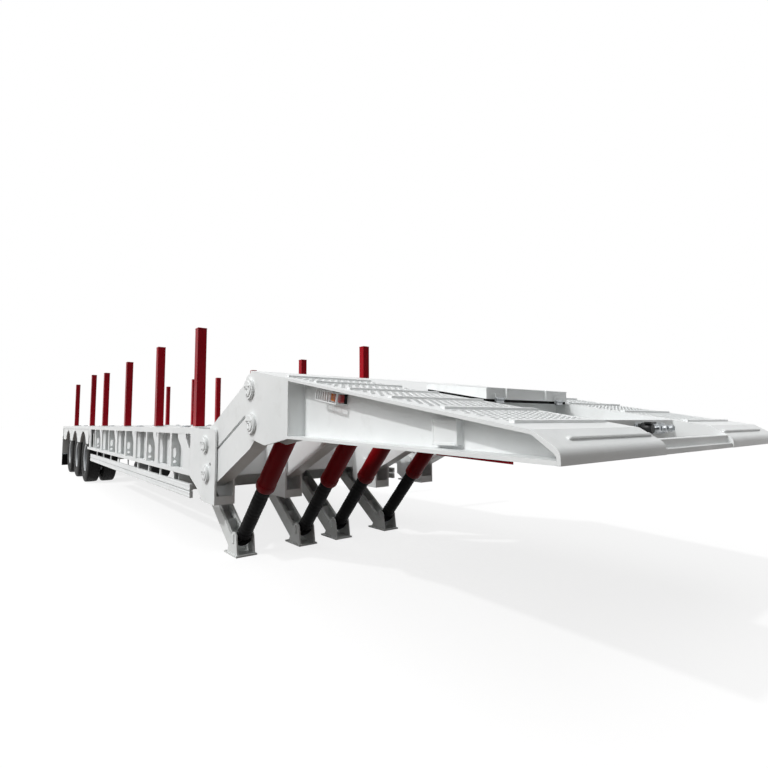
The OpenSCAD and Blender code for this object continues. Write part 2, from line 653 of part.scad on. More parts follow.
// Plate between the tracks, with the raised cover on it and a wall at each end of the open well in front
well_back_x = bevel_x - 950;
well_front_x = bevel_x - 200;
well_wall_t = 14;
lid_x = bevel_x - 1370;
lid_front_x = bevel_x - 863;
lid_half = 430;
lid_t = 8;
lid_gap = 13;
lid_rise = 79;
lid_back_rise = 46;
lid_rib_ys = [-248, 168];
function lid_top(x) = ramp_z(x) + lid_back_rise + (lid_rise - lid_back_rise) * (x - lid_x) / (lid_front_x - lid_x);
module lid_slab(xa, xb, low, a, b) side_plate(a, b) polygon([[xa, ramp_z(xa) + low], [xb, ramp_z(xb) + low],
    [xb, lid_top(xb)], [xa, lid_top(xa)]]);
module centre_spine() color(paint) place() {
    side_plate(-track_in + plate_t, track_in - plate_t) {
        polygon([[ramp_x, ramp_z(ramp_x) - edge_t], [ramp_x, ramp_z(ramp_x)], [well_back_x, ramp_z(well_back_x)],
            [well_back_x, middle_z], [well_back_x - well_wall_t, middle_z],
            [well_back_x - well_wall_t, ramp_z(well_back_x - well_wall_t) - edge_t]]);
        polygon([[well_front_x, coupling_z + web_t], [well_front_x + web_t, coupling_z + web_t],
            [well_front_x + web_t, ramp_z(well_front_x + web_t)], [well_front_x, ramp_z(well_front_x)]]);
    }
    // Cover: a lid on two ribs, its skirts ending above the plate
    side_plate(-lid_half, lid_half) polygon([[lid_x, lid_top(lid_x) - lid_t], [lid_front_x, lid_top(lid_front_x) - lid_t],
        [lid_front_x, lid_top(lid_front_x)], [lid_x, lid_top(lid_x)]]);
    lid_slab(lid_x, lid_x + lid_t, lid_gap, -lid_half, lid_half);
    lid_slab(lid_front_x - lid_t, lid_front_x, lid_gap, -lid_half, lid_half);
    both_sides() lid_slab(lid_x, lid_front_x, lid_gap, lid_half - lid_t, lid_half);
    for (y = lid_rib_ys) lid_slab(lid_x + 2 * lid_t, well_back_x - well_wall_t, 0, y - lid_t, y + lid_t);
}
marker_x = ramp_x + 970;
marker_l = 120;
marker_z = 1308;
marker_h = 70;
case_t = 40;
module marker_lamps() color(amber) place() both_sides()
    box([marker_x, web_y, marker_z], [marker_x + marker_l, web_y + case_t, marker_z + marker_h]);
cover_x = bevel_x - 563;
cover_l = 145;
cover_z = 1109;
cover_h = 106;
module cover_boxes() color(paint) place() both_sides()
    box([cover_x, web_y, cover_z], [cover_x + cover_l, web_y + case_t, cover_z + cover_h]);
coupler_x = well_front_x + web_t;
coupler_z = 1165;
coupler_ys = [20, 100, 180, 260];
module air_couplings() color(silver) place() {
    box([coupler_x, coupler_ys[0] - 80, coupler_z - 30], [coupler_x + 8, coupler_ys[3] + 40, coupler_z + 30]);
    for (y = coupler_ys) translate([coupler_x + 8, y, coupler_z]) rotate([0, 90, 0]) cylinder(r = 20, h = 60);
}
module gooseneck_pins() color(silver) place() {
    for (y = link_ys, p = [neck_up_pin, neck_low_pin]) pin_with_collars(p, y);
    both_sides() bar_y(eye_top[0], eye_top[1], cyl_pin_r, neck_inner_ys[1] + plate_t / 2, neck_inner_ys[2] - plate_t / 2);
    bar_y(eye_top[0], eye_top[1], cyl_pin_r, -neck_inner_ys[0] + plate_t / 2, neck_inner_ys[0] - plate_t / 2);
}

module at_cylinder(p, y, a) translate([p[0], y, p[1]]) rotate([0, -a, 0]) children();
module cylinder_barrels() color(red) place() for (y = cyl_ys) at_cylinder(eye_top, y, cyl_angle + 180) difference() {
    union() {
        rotate([90, 0, 0]) cylinder(r = eye_r, h = eye_w, center = true);
        rotate([0, 90, 0]) cylinder(r = barrel_r, h = barrel_l);
    }
    rotate([90, 0, 0]) cylinder(r = cyl_pin_r + run_gap, h = 3 * eye_w, center = true);
    translate([barrel_floor, 0, 0]) rotate([0, 90, 0]) cylinder(r = bore_r, h = barrel_l - barrel_floor - gland_l);
    translate([barrel_floor, 0, 0]) rotate([0, 90, 0]) cylinder(r = sleeve_r + gland_gap, h = barrel_l);
}
module cylinder_rods() color(black) place() for (y = cyl_ys) at_cylinder(eye_low, y, cyl_angle) difference() {
    union() {
        rotate([90, 0, 0]) cylinder(r = rod_eye_r, h = eye_w, center = true);
        rotate([0, 90, 0]) cylinder(r = sleeve_r, h = rod_l);
    }
    rotate([90, 0, 0]) cylinder(r = foot_pin_r + rod_eye_clear, h = 3 * eye_w, center = true);
}

bead_half = 93;
rim_lip = 20;
// Tyre outline, drawn as [radius, width] from the bead outwards
module tyre_shape() polygon([
    [rim_r, -bead_half], [rim_r + rim_lip, -bead_half], [rim_r + 36, -tyre_w * 0.42], [rim_r + 110, -tyre_w * 0.5],
    [tyre_r - 70, -tyre_w * 0.47], [tyre_r - 22, -tyre_w * 0.42], [tyre_r, -tyre_w * 0.34],
    [tyre_r, tyre_w * 0.34], [tyre_r - 22, tyre_w * 0.42], [tyre_r - 70, tyre_w * 0.47],
    [rim_r + 110, tyre_w * 0.5], [rim_r + 36, tyre_w * 0.42], [rim_r + rim_lip, bead_half], [rim_r, bead_half]]);
module twin_tyres(i, s) place() for (k = [0, 1])
    translate([axle_xs[i], s * (tyre_out_y - k * twin_pitch), axle_z]) rotate([90, 0, 0]) rotate_extrude() tyre_shape();

rim_in = rim_r - 18;
rim_edge_t = 14;
disc_half = 15;
hub_back = disc_y - 21;
hub_front = disc_y + 184;
spacer_l = 140;
module wheel_shape() polygon([
    [spindle_r + run_gap, hub_back], [spindle_r + run_gap, spindle_end + 5], [0, spindle_end + 5], [0, hub_front],
    [hub_r, hub_front], [hub_r, disc_y + disc_half], [rim_in, disc_y + disc_half], [rim_in, disc_y - disc_half],
    [hub_r, disc_y - disc_half], [hub_r, hub_back]]);
module rim_shape() polygon([
    [rim_in, -bead_half - rim_edge_t], [rim_r + rim_lip, -bead_half - rim_edge_t], [rim_r + rim_lip, -bead_half],
    [rim_r, -bead_half], [rim_r, bead_half], [rim_r + rim_lip, bead_half],
    [rim_r + rim_lip, bead_half + rim_edge_t], [rim_in, bead_half + rim_edge_t]]);
module twin_wheel(i, s) place() translate([axle_xs[i], 0, axle_z]) scale([1, s, 1]) rotate([-90, 0, 0]) {
    rotate_extrude() wheel_shape();
    for (k = [0, 1]) translate([0, 0, tyre_out_y - k * twin_pitch]) rotate_extrude() rim_shape();
    difference() {
        translate([0, 0, disc_y]) cylinder(r = rim_r - 2, h = spacer_l, center = true);
        translate([0, 0, disc_y]) cylinder(r = rim_in, h = spacer_l + 2 * cut, center = true);
    }
}

main_beams();
outriggers();
side_rails();
deck_floor();
front_bulkhead();
link_brackets();
deck_pins();
stake_pockets();
stakes();
support_legs();
feet();
side_guards();
wheel_aprons();
mud_flaps();
rear_beam();
rear_lamps();
axles();
suspension();
air_tank();
upper_links();
lower_links();
gooseneck_beams();
gooseneck_frame();
ramp_decks();
nose_plates();
coupling_plate();
centre_spine();
marker_lamps();
cover_boxes();
air_couplings();
gooseneck_pins();
cylinder_barrels();
cylinder_rods();
color(black) twin_tyres(0, -1);  // tyres_1_right
color(black) twin_tyres(0, 1);  // tyres_1_left
color(black) twin_tyres(1, -1);  // tyres_2_right
color(black) twin_tyres(1, 1);  // tyres_2_left
color(black) twin_tyres(2, -1);  // tyres_3_right
color(black) twin_tyres(2, 1);  // tyres_3_left
color(silver) twin_wheel(0, -1);  // wheel_1_right
color(silver) twin_wheel(0, 1);  // wheel_1_left
color(silver) twin_wheel(1, -1);  // wheel_2_right
color(silver) twin_wheel(1, 1);  // wheel_2_left
color(silver) twin_wheel(2, -1);  // wheel_3_right
color(silver) twin_wheel(2, 1);  // wheel_3_left
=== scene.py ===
import math

import bmesh
import bpy
from bpy.props import FloatProperty, IntProperty, PointerProperty, StringProperty
from mathutils import Matrix, Vector


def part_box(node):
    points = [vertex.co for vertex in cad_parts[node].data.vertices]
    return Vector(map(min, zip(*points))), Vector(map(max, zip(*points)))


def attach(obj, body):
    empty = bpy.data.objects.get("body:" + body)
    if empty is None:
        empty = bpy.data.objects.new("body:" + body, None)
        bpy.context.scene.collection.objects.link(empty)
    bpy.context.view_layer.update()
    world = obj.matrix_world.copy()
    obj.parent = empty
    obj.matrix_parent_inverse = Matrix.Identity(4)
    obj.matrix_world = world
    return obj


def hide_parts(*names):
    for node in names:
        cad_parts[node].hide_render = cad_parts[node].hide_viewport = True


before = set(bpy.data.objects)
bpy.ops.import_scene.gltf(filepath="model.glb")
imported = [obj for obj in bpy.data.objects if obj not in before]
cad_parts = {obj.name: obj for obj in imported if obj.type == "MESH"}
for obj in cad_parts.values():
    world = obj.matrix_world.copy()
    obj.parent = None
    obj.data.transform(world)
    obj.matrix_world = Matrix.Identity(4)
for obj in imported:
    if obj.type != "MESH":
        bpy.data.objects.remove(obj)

# Blender's own start-up cube isn't part of the trailer
if "Cube" in bpy.data.objects:
    bpy.data.objects.remove(bpy.data.objects["Cube"], do_unlink=True)
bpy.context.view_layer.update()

bl_info = {
    "name": "Stake-sided low-loader semi-trailer",
    "version": (1, 0, 0),
    "blender": (4, 5, 0),
    "location": "3D View > Sidebar > Trailer",
    "description": "Finishes and detailed pieces of a low-loader semi-trailer with a lifting gooseneck",
    "category": "Object",
}


# Sizes and colours that a user would change

class TrailerFinishes(bpy.types.PropertyGroup):
    white: StringProperty(name="White enamel", description="Main paint of frame and gooseneck, sRGB hex",
                          default="#EEF0F0")
    grey: StringProperty(name="Grey enamel", description="Paint of legs, beams and axles, sRGB hex", default="#E0E2E1")
    crimson: StringProperty(name="Red enamel", description="Paint of the stakes and cylinders, sRGB hex",
                            default="#A20A1C")


class TrailerTyres(bpy.types.PropertyGroup):
    segments: IntProperty(name="Segments", description="Steps round a tyre", default=168, min=24)
    groove: FloatProperty(name="Groove depth", description="Depth of the tread grooves", default=0.012, unit="LENGTH")
    rim_radius: FloatProperty(name="Bead radius", description="Radius of the tyre's bead", default=0.257, unit="LENGTH")


class TrailerRamps(bpy.types.PropertyGroup):
    bar_length: FloatProperty(name="Bar length", description="Length of a grip bar", default=0.030, unit="LENGTH")
    bar_height: FloatProperty(name="Bar height", description="Height of a grip bar above the plate",
                              default=0.0035, unit="LENGTH")
    row_pitch: FloatProperty(name="Row pitch", description="Distance between rows of grip bars",
                             default=0.038, unit="LENGTH")


class TrailerCylinders(bpy.types.PropertyGroup):
    fold_depth: FloatProperty(name="Fold depth", description="Depth of the folds in a rod's sleeve",
                              default=0.0035, unit="LENGTH")


class TrailerCamera(bpy.types.PropertyGroup):
    focal: FloatProperty(name="Focal length", description="Focal length on a 36 mm sensor, in mm", default=22.69)
    yaw: FloatProperty(name="Heading", description="Direction seen, from +X",
                       default=math.radians(141.42), unit="ROTATION")
    pitch: FloatProperty(name="Pitch", description="Angle above the horizon",
                         default=math.radians(4.58), unit="ROTATION")
    roll: FloatProperty(name="Roll", description="Tilt of the picture", default=math.radians(-0.36), unit="ROTATION")
    floor_radius: FloatProperty(name="Floor radius", description="Radius of the pale floor",
                                default=150.0, unit="LENGTH")


GROUPS = {"trailer_finishes": TrailerFinishes, "trailer_tyres": TrailerTyres, "trailer_ramps": TrailerRamps,
          "trailer_cylinders": TrailerCylinders, "trailer_camera": TrailerCamera}
CAMERA_PLACE = (8.4395, -2.680, 1.2048)
# Station 0 in the frame, and the shared sizes in metres: heights and stations as in the part
STATION_0 = 3.37
HALF_WIDTH, DECK_TOP, NECK_WEB = 1.250, 1.170, 1.130
RAMP_REAR, RAMP_FRONT = (1.7168, 1.590), (4.080, 1.178)
RAMP_FALL = (RAMP_REAR[1] - RAMP_FRONT[1]) / (RAMP_FRONT[0] - RAMP_REAR[0])
RAMP_ANGLE = math.atan(RAMP_FALL)
RIB_FRONT, RIB_PITCH, RIB_WIDTH, RIB_COUNT = 3.930, 0.360, 0.026, 6
EYE_TOP, EYE_LOW = (1.800, 1.390), (0.660, 0.152)
CYLINDER_YS = (-0.850, -0.2125, 0.2125, 0.850)
AXLES = (-7.000, -8.350, -9.700)
AXLE_HEIGHT, WHEEL_MIDDLE, TYRE_WIDTH = 0.505, 0.921, 0.258
SIDES = (("right", -1), ("left", 1))
SIGNS = (-1, 1)
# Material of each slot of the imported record
SLOT_FINISH = {"white_paint": "white_enamel", "grey_paint": "grey_enamel", "red_paint": "red_enamel",
               "black_paint": "black_enamel", "silver_paint": "silver_wheel_enamel", "zinc": "zinc_plated_steel",
               "black_rubber": "ribbed_sleeve_rubber", "tyre": "moulded_tyre_rubber",
               "red_lens": "red_acrylic_lens", "amber_lens": "amber_acrylic_lens"}


def ramp_height(x):
    return RAMP_REAR[1] - RAMP_FALL * (x - RAMP_REAR[0])


# Modelling

def clear_selection():
    if bpy.context.object and bpy.context.object.mode != "OBJECT":
        bpy.ops.object.mode_set(mode="OBJECT")
    bpy.ops.object.select_all(action="DESELECT")


def select_only(piece):
    clear_selection()
    piece.select_set(True)
    bpy.context.view_layer.objects.active = piece


def select_all():
    bpy.ops.mesh.select_all(action="SELECT")


def remove(*pieces):
    for piece in pieces:
        bpy.data.objects.remove(piece, do_unlink=True)


def shift(x, y, z):
    return Matrix.Translation((x, y, z))


def turn(axis, angle):
    return Matrix.Rotation(angle, 4, axis)


def start_piece(name, primitive, **place):
    """Adds a primitive with nothing else selected, and names it."""
    clear_selection()
    primitive(**place)
    piece = bpy.context.active_object
    piece.name = piece.data.name = name
    return piece


def edit_piece(piece, kind="FACE"):
    """Enters edit mode on one piece with nothing selected in it."""
    select_only(piece)
    bpy.ops.object.mode_set(mode="EDIT")
    bpy.ops.mesh.select_mode(type=kind)
    bpy.ops.mesh.select_all(action="DESELECT")


def pick(piece, kind, test):
    """Selects the faces, edges or verts of a piece in edit mode for which test is true."""
    mesh = bmesh.from_edit_mesh(piece.data)
    for element in getattr(mesh, kind):
        if test(element):
            element.select_set(True)
    bmesh.update_edit_mesh(piece.data)


def end_edit(smooth=None):
    """Leaves edit mode, and shades smooth up to an angle in degrees where one is given."""
    bpy.ops.object.mode_set(mode="OBJECT")
    if smooth:
        bpy.ops.object.shade_smooth_by_angle(angle=math.radians(smooth))


def put(piece, matrix):
    """Moves a piece and puts its place into its mesh."""
    select_only(piece)
    piece.matrix_world = matrix
    bpy.ops.object.transform_apply(location=True, rotation=True, scale=True)


def copy_piece(piece, matrix):
    """Copies a piece with its own mesh, and moves the copy."""
    twin = piece.copy()
    twin.data = piece.data.copy()
    bpy.context.collection.objects.link(twin)
    put(twin, matrix)
    return twin


def join_pieces(name, pieces):
    """Joins pieces into one with a name."""
    clear_selection()
    for piece in pieces:
        piece.select_set(True)
    bpy.context.view_layer.objects.active = pieces[0]
    if len(pieces) > 1:
        bpy.ops.object.join()
    pieces[0].name = pieces[0].data.name = name
    return pieces[0]


def repeat(name, pattern, places):
    """One piece made of a copy of the pattern at each place; the pattern goes."""
    made = join_pieces(name, [copy_piece(pattern, place) for place in places])
    remove(pattern)
    return made


def modify(piece, kind, **settings):
    """Adds a modifier and applies it."""
    select_only(piece)
    modifier = piece.modifiers.new(kind.title(), kind)
    for key, value in settings.items():
        setattr(modifier, key, value)
    bpy.ops.object.modifier_apply(modifier=modifier.name)


def carve(piece, cutter):
    """Cuts one piece out of another; the cutter goes."""
    modify(piece, "BOOLEAN", operation="DIFFERENCE", object=cutter, solver="EXACT")
    remove(cutter)


def turned(name, profile, segments, closed=False, smooth=35):
    """A ring extruded from point to point of a profile of (height, radius) about Z."""
    height, radius = profile[0]
    circle = bpy.ops.mesh.primitive_circle_add
    piece = start_piece(name, circle, vertices=segments, radius=radius, location=(0, 0, height))
    put(piece, piece.matrix_world.copy())
    bpy.ops.object.mode_set(mode="EDIT")
    bpy.ops.mesh.select_mode(type="EDGE")
    select_all()
    for far, wide in profile[1:]:
        bpy.ops.mesh.extrude_region_move(TRANSFORM_OT_translate={"value": (0, 0, far - height)})
        bpy.ops.transform.resize(value=(wide / radius, wide / radius, 1), center_override=(0, 0, far))
        height, radius = far, wide
    select_all()
    if closed:
        bpy.ops.mesh.remove_doubles(threshold=1e-5)
    else:
        bpy.ops.mesh.fill_holes(sides=0)
    bpy.ops.mesh.normals_make_consistent(inside=False)
    end_edit(smooth)
    return piece


def dress(piece, body, slot, finish=None):
    """Gives a piece its body, its slot, and the slot's material unless another finish is named."""
    piece.data.materials.clear()
    piece.data.materials.append(bpy.data.materials[finish or SLOT_FINISH[slot]])
    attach(piece, body)
    return piece


def spot(x, y, z):
    """Point at a station: lengths along the trailer are measured from its first stake."""
    return Vector((x + STATION_0, y, z))


def at(x, y, z):
    """Place of a shape moved to a station."""
    return Matrix.Translation(spot(x, y, z))


def round_places(count, radius, height, first=0.0):
    """Places spaced evenly round Z; first is the turn of the first one."""
    return [turn("Z", math.tau * i / count + first) @ shift(radius, 0, height) for i in range(count)]


def each_wheel(kind):
    """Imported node, name end and side sign of every twin wheel."""
    for index in (1, 2, 3):
        for side, sign in SIDES:
            yield f"{kind}_{index}_{side}", f"{index}_{side}", sign


def facing(point, normal):
    """Place of a shape drawn about Z, set down at a point so that its top looks along the normal."""
    return Matrix.Translation(point) @ Vector(normal).to_track_quat("Z", "Y").to_matrix().to_4x4()


def block(name, corner, opposite, round_off=0.002):
    """A bar between two opposite corners with its edges rounded off."""
    low, high = (Vector([least_or_most(pair) for pair in zip(corner, opposite)]) for least_or_most in (min, max))
    piece = start_piece(name, bpy.ops.mesh.primitive_cube_add, size=1, location=(low + high) / 2, scale=high - low)
    put(piece, piece.matrix_world.copy())
    edit_piece(piece, "EDGE")
    select_all()
    bpy.ops.mesh.bevel(offset=round_off, segments=1, affect="EDGES")
    end_edit()
    return piece


def plate(name, outline, start, end, round_off=0.0015):
    """A plate cut to an outline of (station, height), from one y to another, its edges rounded off."""
    piece = start_piece(name, bpy.ops.mesh.primitive_circle_add, vertices=len(outline), radius=1, fill_type="NGON")
    put(piece, piece.matrix_world.copy())
    for vertex, (x, z) in zip(piece.data.vertices, outline):
        vertex.co = spot(x, start, z)
    edit_piece(piece)
    select_all()
    bpy.ops.mesh.extrude_region_move(TRANSFORM_OT_translate={"value": (0, end - start, 0)})
    select_all()
    bpy.ops.mesh.normals_make_consistent(inside=False)
    bpy.ops.mesh.select_mode(type="EDGE")
    select_all()
    bpy.ops.mesh.bevel(offset=round_off, segments=1, affect="EDGES")
    end_edit()
    return piece


def hex_bolt(size, shank=0.0):
    """A hexagon head or nut about Z with its washer; size is across the corners."""
    head = [(0.0, 0.46), (0.03, 0.5), (0.28, 0.5), (0.36, 0.42)]
    parts = [turned("head", [(size * height, size * radius) for height, radius in head], 6, smooth=None),
             turned("washer", [(-0.001, size * 0.64), (0.002, size * 0.64), (0.003, size * 0.6)], 14, smooth=None)]
    if shank:
        stud = [(0.0, size * 0.24), (shank, size * 0.24), (shank + 0.002, size * 0.2)]
        parts.append(turned("stud", stud, 10, smooth=None))
    return join_pieces("bolt", parts)


def cylinder_place(y, distance):
    """Place on a lifting cylinder's line, that far down from its upper eye; Z runs down the line."""
    top, foot = spot(EYE_TOP[0], y, EYE_TOP[1]), spot(EYE_LOW[0], y, EYE_LOW[1])
    down = (foot - top).normalized()
    return facing(top + down * distance, down)


def along_y(x, y, z, side=1):
    """Place of a shape drawn about Z, turned so that its top points along Y to one side."""
    return shift(x, y, z) @ turn("X", -side * math.pi / 2)


# Materials

def linear(colour):
    """Linear colour of an sRGB hex value."""
    channels = [int(colour[i:i + 2], 16) / 255 for i in (1, 3, 5)]
    return [c / 12.92 if c <= 0.04045 else ((c + 0.055) / 1.055) ** 2.4 for c in channels] + [1.0]


def add_node(tree, kind, sockets=None, **settings):
    """Adds a node with its settings, its values and its links."""
    node = tree.nodes.new(kind)
    for key, value in settings.items():
        setattr(node, key, value)
    for key, value in (sockets or {}).items():
        if isinstance(value, bpy.types.NodeSocket):
            tree.links.new(value, node.inputs[key])
        else:
            node.inputs[key].default_value = value
    return node


def start_material(name):
    """An empty material; returns its tree and the Object coordinates."""
    material = bpy.data.materials.new(name)
    material.use_nodes = True
    tree = material.node_tree
    tree.nodes.clear()
    return tree, add_node(tree, "ShaderNodeTexCoord").outputs["Object"]


def end_material(tree, sockets):
    """Ends a material with its shader, given its constants and links."""
    shader = add_node(tree, "ShaderNodeBsdfPrincipled", sockets)
    add_node(tree, "ShaderNodeOutputMaterial", {"Surface": shader.outputs["BSDF"]})


def patches(tree, place, size, low, high, detail, grain=0.5, start=0.35, end=0.65):
    """Soft patches of a size in metres, as a value from low to high."""
    lumps = add_node(tree, "ShaderNodeTexNoise", {"Vector": place, "Scale": 1 / size, "Detail": detail,
                                                  "Roughness": grain})
    limits = {"Value": lumps.outputs["Fac"], "From Min": start, "From Max": end, "To Min": low, "To Max": high}
    return add_node(tree, "ShaderNodeMapRange", limits).outputs["Result"]


def seen_directly(tree):
    """One for rays from the camera, a reflection or a lens, and zero for the rays that light surfaces."""
    path = add_node(tree, "ShaderNodeLightPath").outputs
    bent = add_node(tree, "ShaderNodeMath", {0: path["Is Glossy Ray"], 1: path["Is Transmission Ray"]},
                    operation="MAXIMUM")
    return add_node(tree, "ShaderNodeMath", {0: path["Is Camera Ray"], 1: bent.outputs[0]},
                    operation="MAXIMUM").outputs[0]


def enamel(name, colour, shade, roughness, dirt="#8E8A80", gloss=0.5, dust_most=0.16):
    """Sprayed two-pack enamel on rolled plate: soft gloss, faint orange peel, patches of handling dust."""
    tree, place = start_material(name)
    faded = patches(tree, place, 0.9, 0.0, 1.0, 5.0, 0.6)
    film = add_node(tree, "ShaderNodeMix", {0: faded, 6: linear(colour), 7: linear(shade)}, data_type="RGBA")
    dust = patches(tree, place, 0.16, 0.0, dust_most, 8.0, 0.7, 0.55, 0.8)
    dusty = add_node(tree, "ShaderNodeMix", {0: dust, 6: film.outputs[2], 7: linear(dirt)}, data_type="RGBA")
    # Orange peel is 6 mm across; the plate's own waves are 0.35 m across and six times as high
    peel = add_node(tree, "ShaderNodeTexNoise", {"Vector": place, "Scale": 1 / 0.006, "Detail": 1.0})
    waves = add_node(tree, "ShaderNodeTexNoise", {"Vector": place, "Scale": 1 / 0.35, "Detail": 1.0})
    both = add_node(tree, "ShaderNodeMath", {0: waves.outputs["Fac"], 1: 6.0, 2: peel.outputs["Fac"]},
                    operation="MULTIPLY_ADD")
    relief = add_node(tree, "ShaderNodeBump", {"Height": both.outputs[0], "Distance": 0.0006, "Strength": 0.5})
    end_material(tree, {"Base Color": dusty.outputs[2], "Normal": relief.outputs["Normal"], "IOR": 1.5,
                        "Roughness": patches(tree, place, 0.25, roughness - 0.06, roughness + 0.08, 4.0),
                        "Specular IOR Level": gloss, "Coat Weight": gloss * 0.3, "Coat Roughness": 0.2})


def mottled(name, tones, bloom, wear, grain, constants):
    """Two tones in patches over a fine grain; bloom and wear are the patches of tone and of roughness."""
    tree, place = start_material(name)
    tone = add_node(tree, "ShaderNodeMix", {0: patches(tree, place, *bloom), 6: linear(tones[0]),
                                            7: linear(tones[1])}, data_type="RGBA")
    sockets = {"Base Color": tone.outputs[2], "Roughness": patches(tree, place, *wear), **constants}
    if grain:
        size, detail, distance, strength = grain
        lumps = add_node(tree, "ShaderNodeTexNoise", {"Vector": place, "Scale": 1 / size, "Detail": detail})
        relief = add_node(tree, "ShaderNodeBump", {"Height": lumps.outputs["Fac"], "Distance": distance,
                                                   "Strength": strength})
        sockets["Normal"] = relief.outputs["Normal"]
    end_material(tree, sockets)


def lens(name, colour, deep):
    """Moulded acrylic lamp lens: clear colour over a prism pattern of 8 mm."""
    tree, place = start_material(name)
    cells = add_node(tree, "ShaderNodeTexVoronoi", {"Vector": place, "Scale": 1 / 0.008}, feature="DISTANCE_TO_EDGE")
    prisms = cells.outputs["Distance"]
    edges = add_node(tree, "ShaderNodeMapRange", {"Value": prisms, "From Max": 0.25, "To Min": 1.0, "To Max": 0.0})
    tone = add_node(tree, "ShaderNodeMix", {0: edges.outputs["Result"], 6: linear(colour), 7: linear(deep)},
                    data_type="RGBA")
    relief = add_node(tree, "ShaderNodeBump", {"Height": prisms, "Distance": 0.002, "Strength": 0.4})
    end_material(tree, {"Base Color": tone.outputs[2], "Normal": relief.outputs["Normal"], "IOR": 1.49,
                        "Roughness": 0.08, "Coat Weight": 0.6, "Coat Roughness": 0.05})


class TRAILER_OT_finishes(bpy.types.Operator):
    """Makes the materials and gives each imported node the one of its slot"""
    bl_idname = "trailer.finishes"
    bl_label = "Finishes"

    def execute(self, context):
        paint = context.scene.trailer_finishes
        # White and grey: even paint with a soft sheen, the grey a little duller
        enamel("white_enamel", paint.white, "#E4E7E7", 0.38, gloss=0.3)
        enamel("grey_enamel", paint.grey, "#D2D5D4", 0.42, gloss=0.3)
        # Deep reds and blacks hold their colour: little gloss, so that the pale surroundings don't grey them
        enamel("red_enamel", paint.crimson, "#920818", 0.34, "#5A1C20", 0.07, 0.08)
        # The barrels' red is a darker copy of the stakes' red: painted shade, standing in for the gooseneck's shadow
        # over them
        enamel("cylinder_red_enamel", "#86060E", "#70040B", 0.40, "#4A1014", 0.06, 0.10)
        enamel("black_enamel", "#141516", "#1C1D1E", 0.45, "#3A3835", 0.2, 0.12)
        # Wheel silver: the glossiest of the paints
        enamel("silver_wheel_enamel", "#B4B7B9", "#9DA1A4", 0.34)
        # Moulded tyre rubber: near-black, matt, with a waxy bloom on the sidewalls. The mould's grain is finer than
        # the 4 mm drawn here, which is as coarse as it needs to show
        mottled("moulded_tyre_rubber", ("#101010", "#232221"), (0.12, 0.0, 0.55, 6.0, 0.65, 0.4, 0.8),
                (0.05, 0.48, 0.7, 4.0), (0.004, 3.0, 0.0008, 0.35), {"IOR": 1.52, "Specular IOR Level": 0.16})
        # Reinforced rubber sleeve: black, with a cloth weave pressed into its face. The weave is finer than the 5 mm
        # drawn here, which is as coarse as it needs to show
        mottled("ribbed_sleeve_rubber", ("#0B0B0C", "#161515"), (0.08, 0.0, 1.0, 5.0),
                (0.03, 0.42, 0.62, 3.0), (0.005, 2.0, 0.0008, 0.5), {"IOR": 1.5, "Specular IOR Level": 0.05})
        lens("red_acrylic_lens", "#B3121A", "#6E070D")
        lens("amber_acrylic_lens", "#E88612", "#B4560A")
        # Zinc-plated steel: bright grey metal with faint crystal patches
        mottled("zinc_plated_steel", ("#B9BCBE", "#8F9396"), (0.015, 0.0, 1.0, 4.0),
                (0.01, 0.28, 0.45, 3.0), None, {"Metallic": 1.0})
        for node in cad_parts.values():
            for place in node.material_slots:
                place.material = bpy.data.materials[SLOT_FINISH[place.material.name.split(".")[0]]]
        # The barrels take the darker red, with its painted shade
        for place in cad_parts["cylinder_barrels"].material_slots:
            place.material = bpy.data.materials["cylinder_red_enamel"]
        return {"FINISHED"}


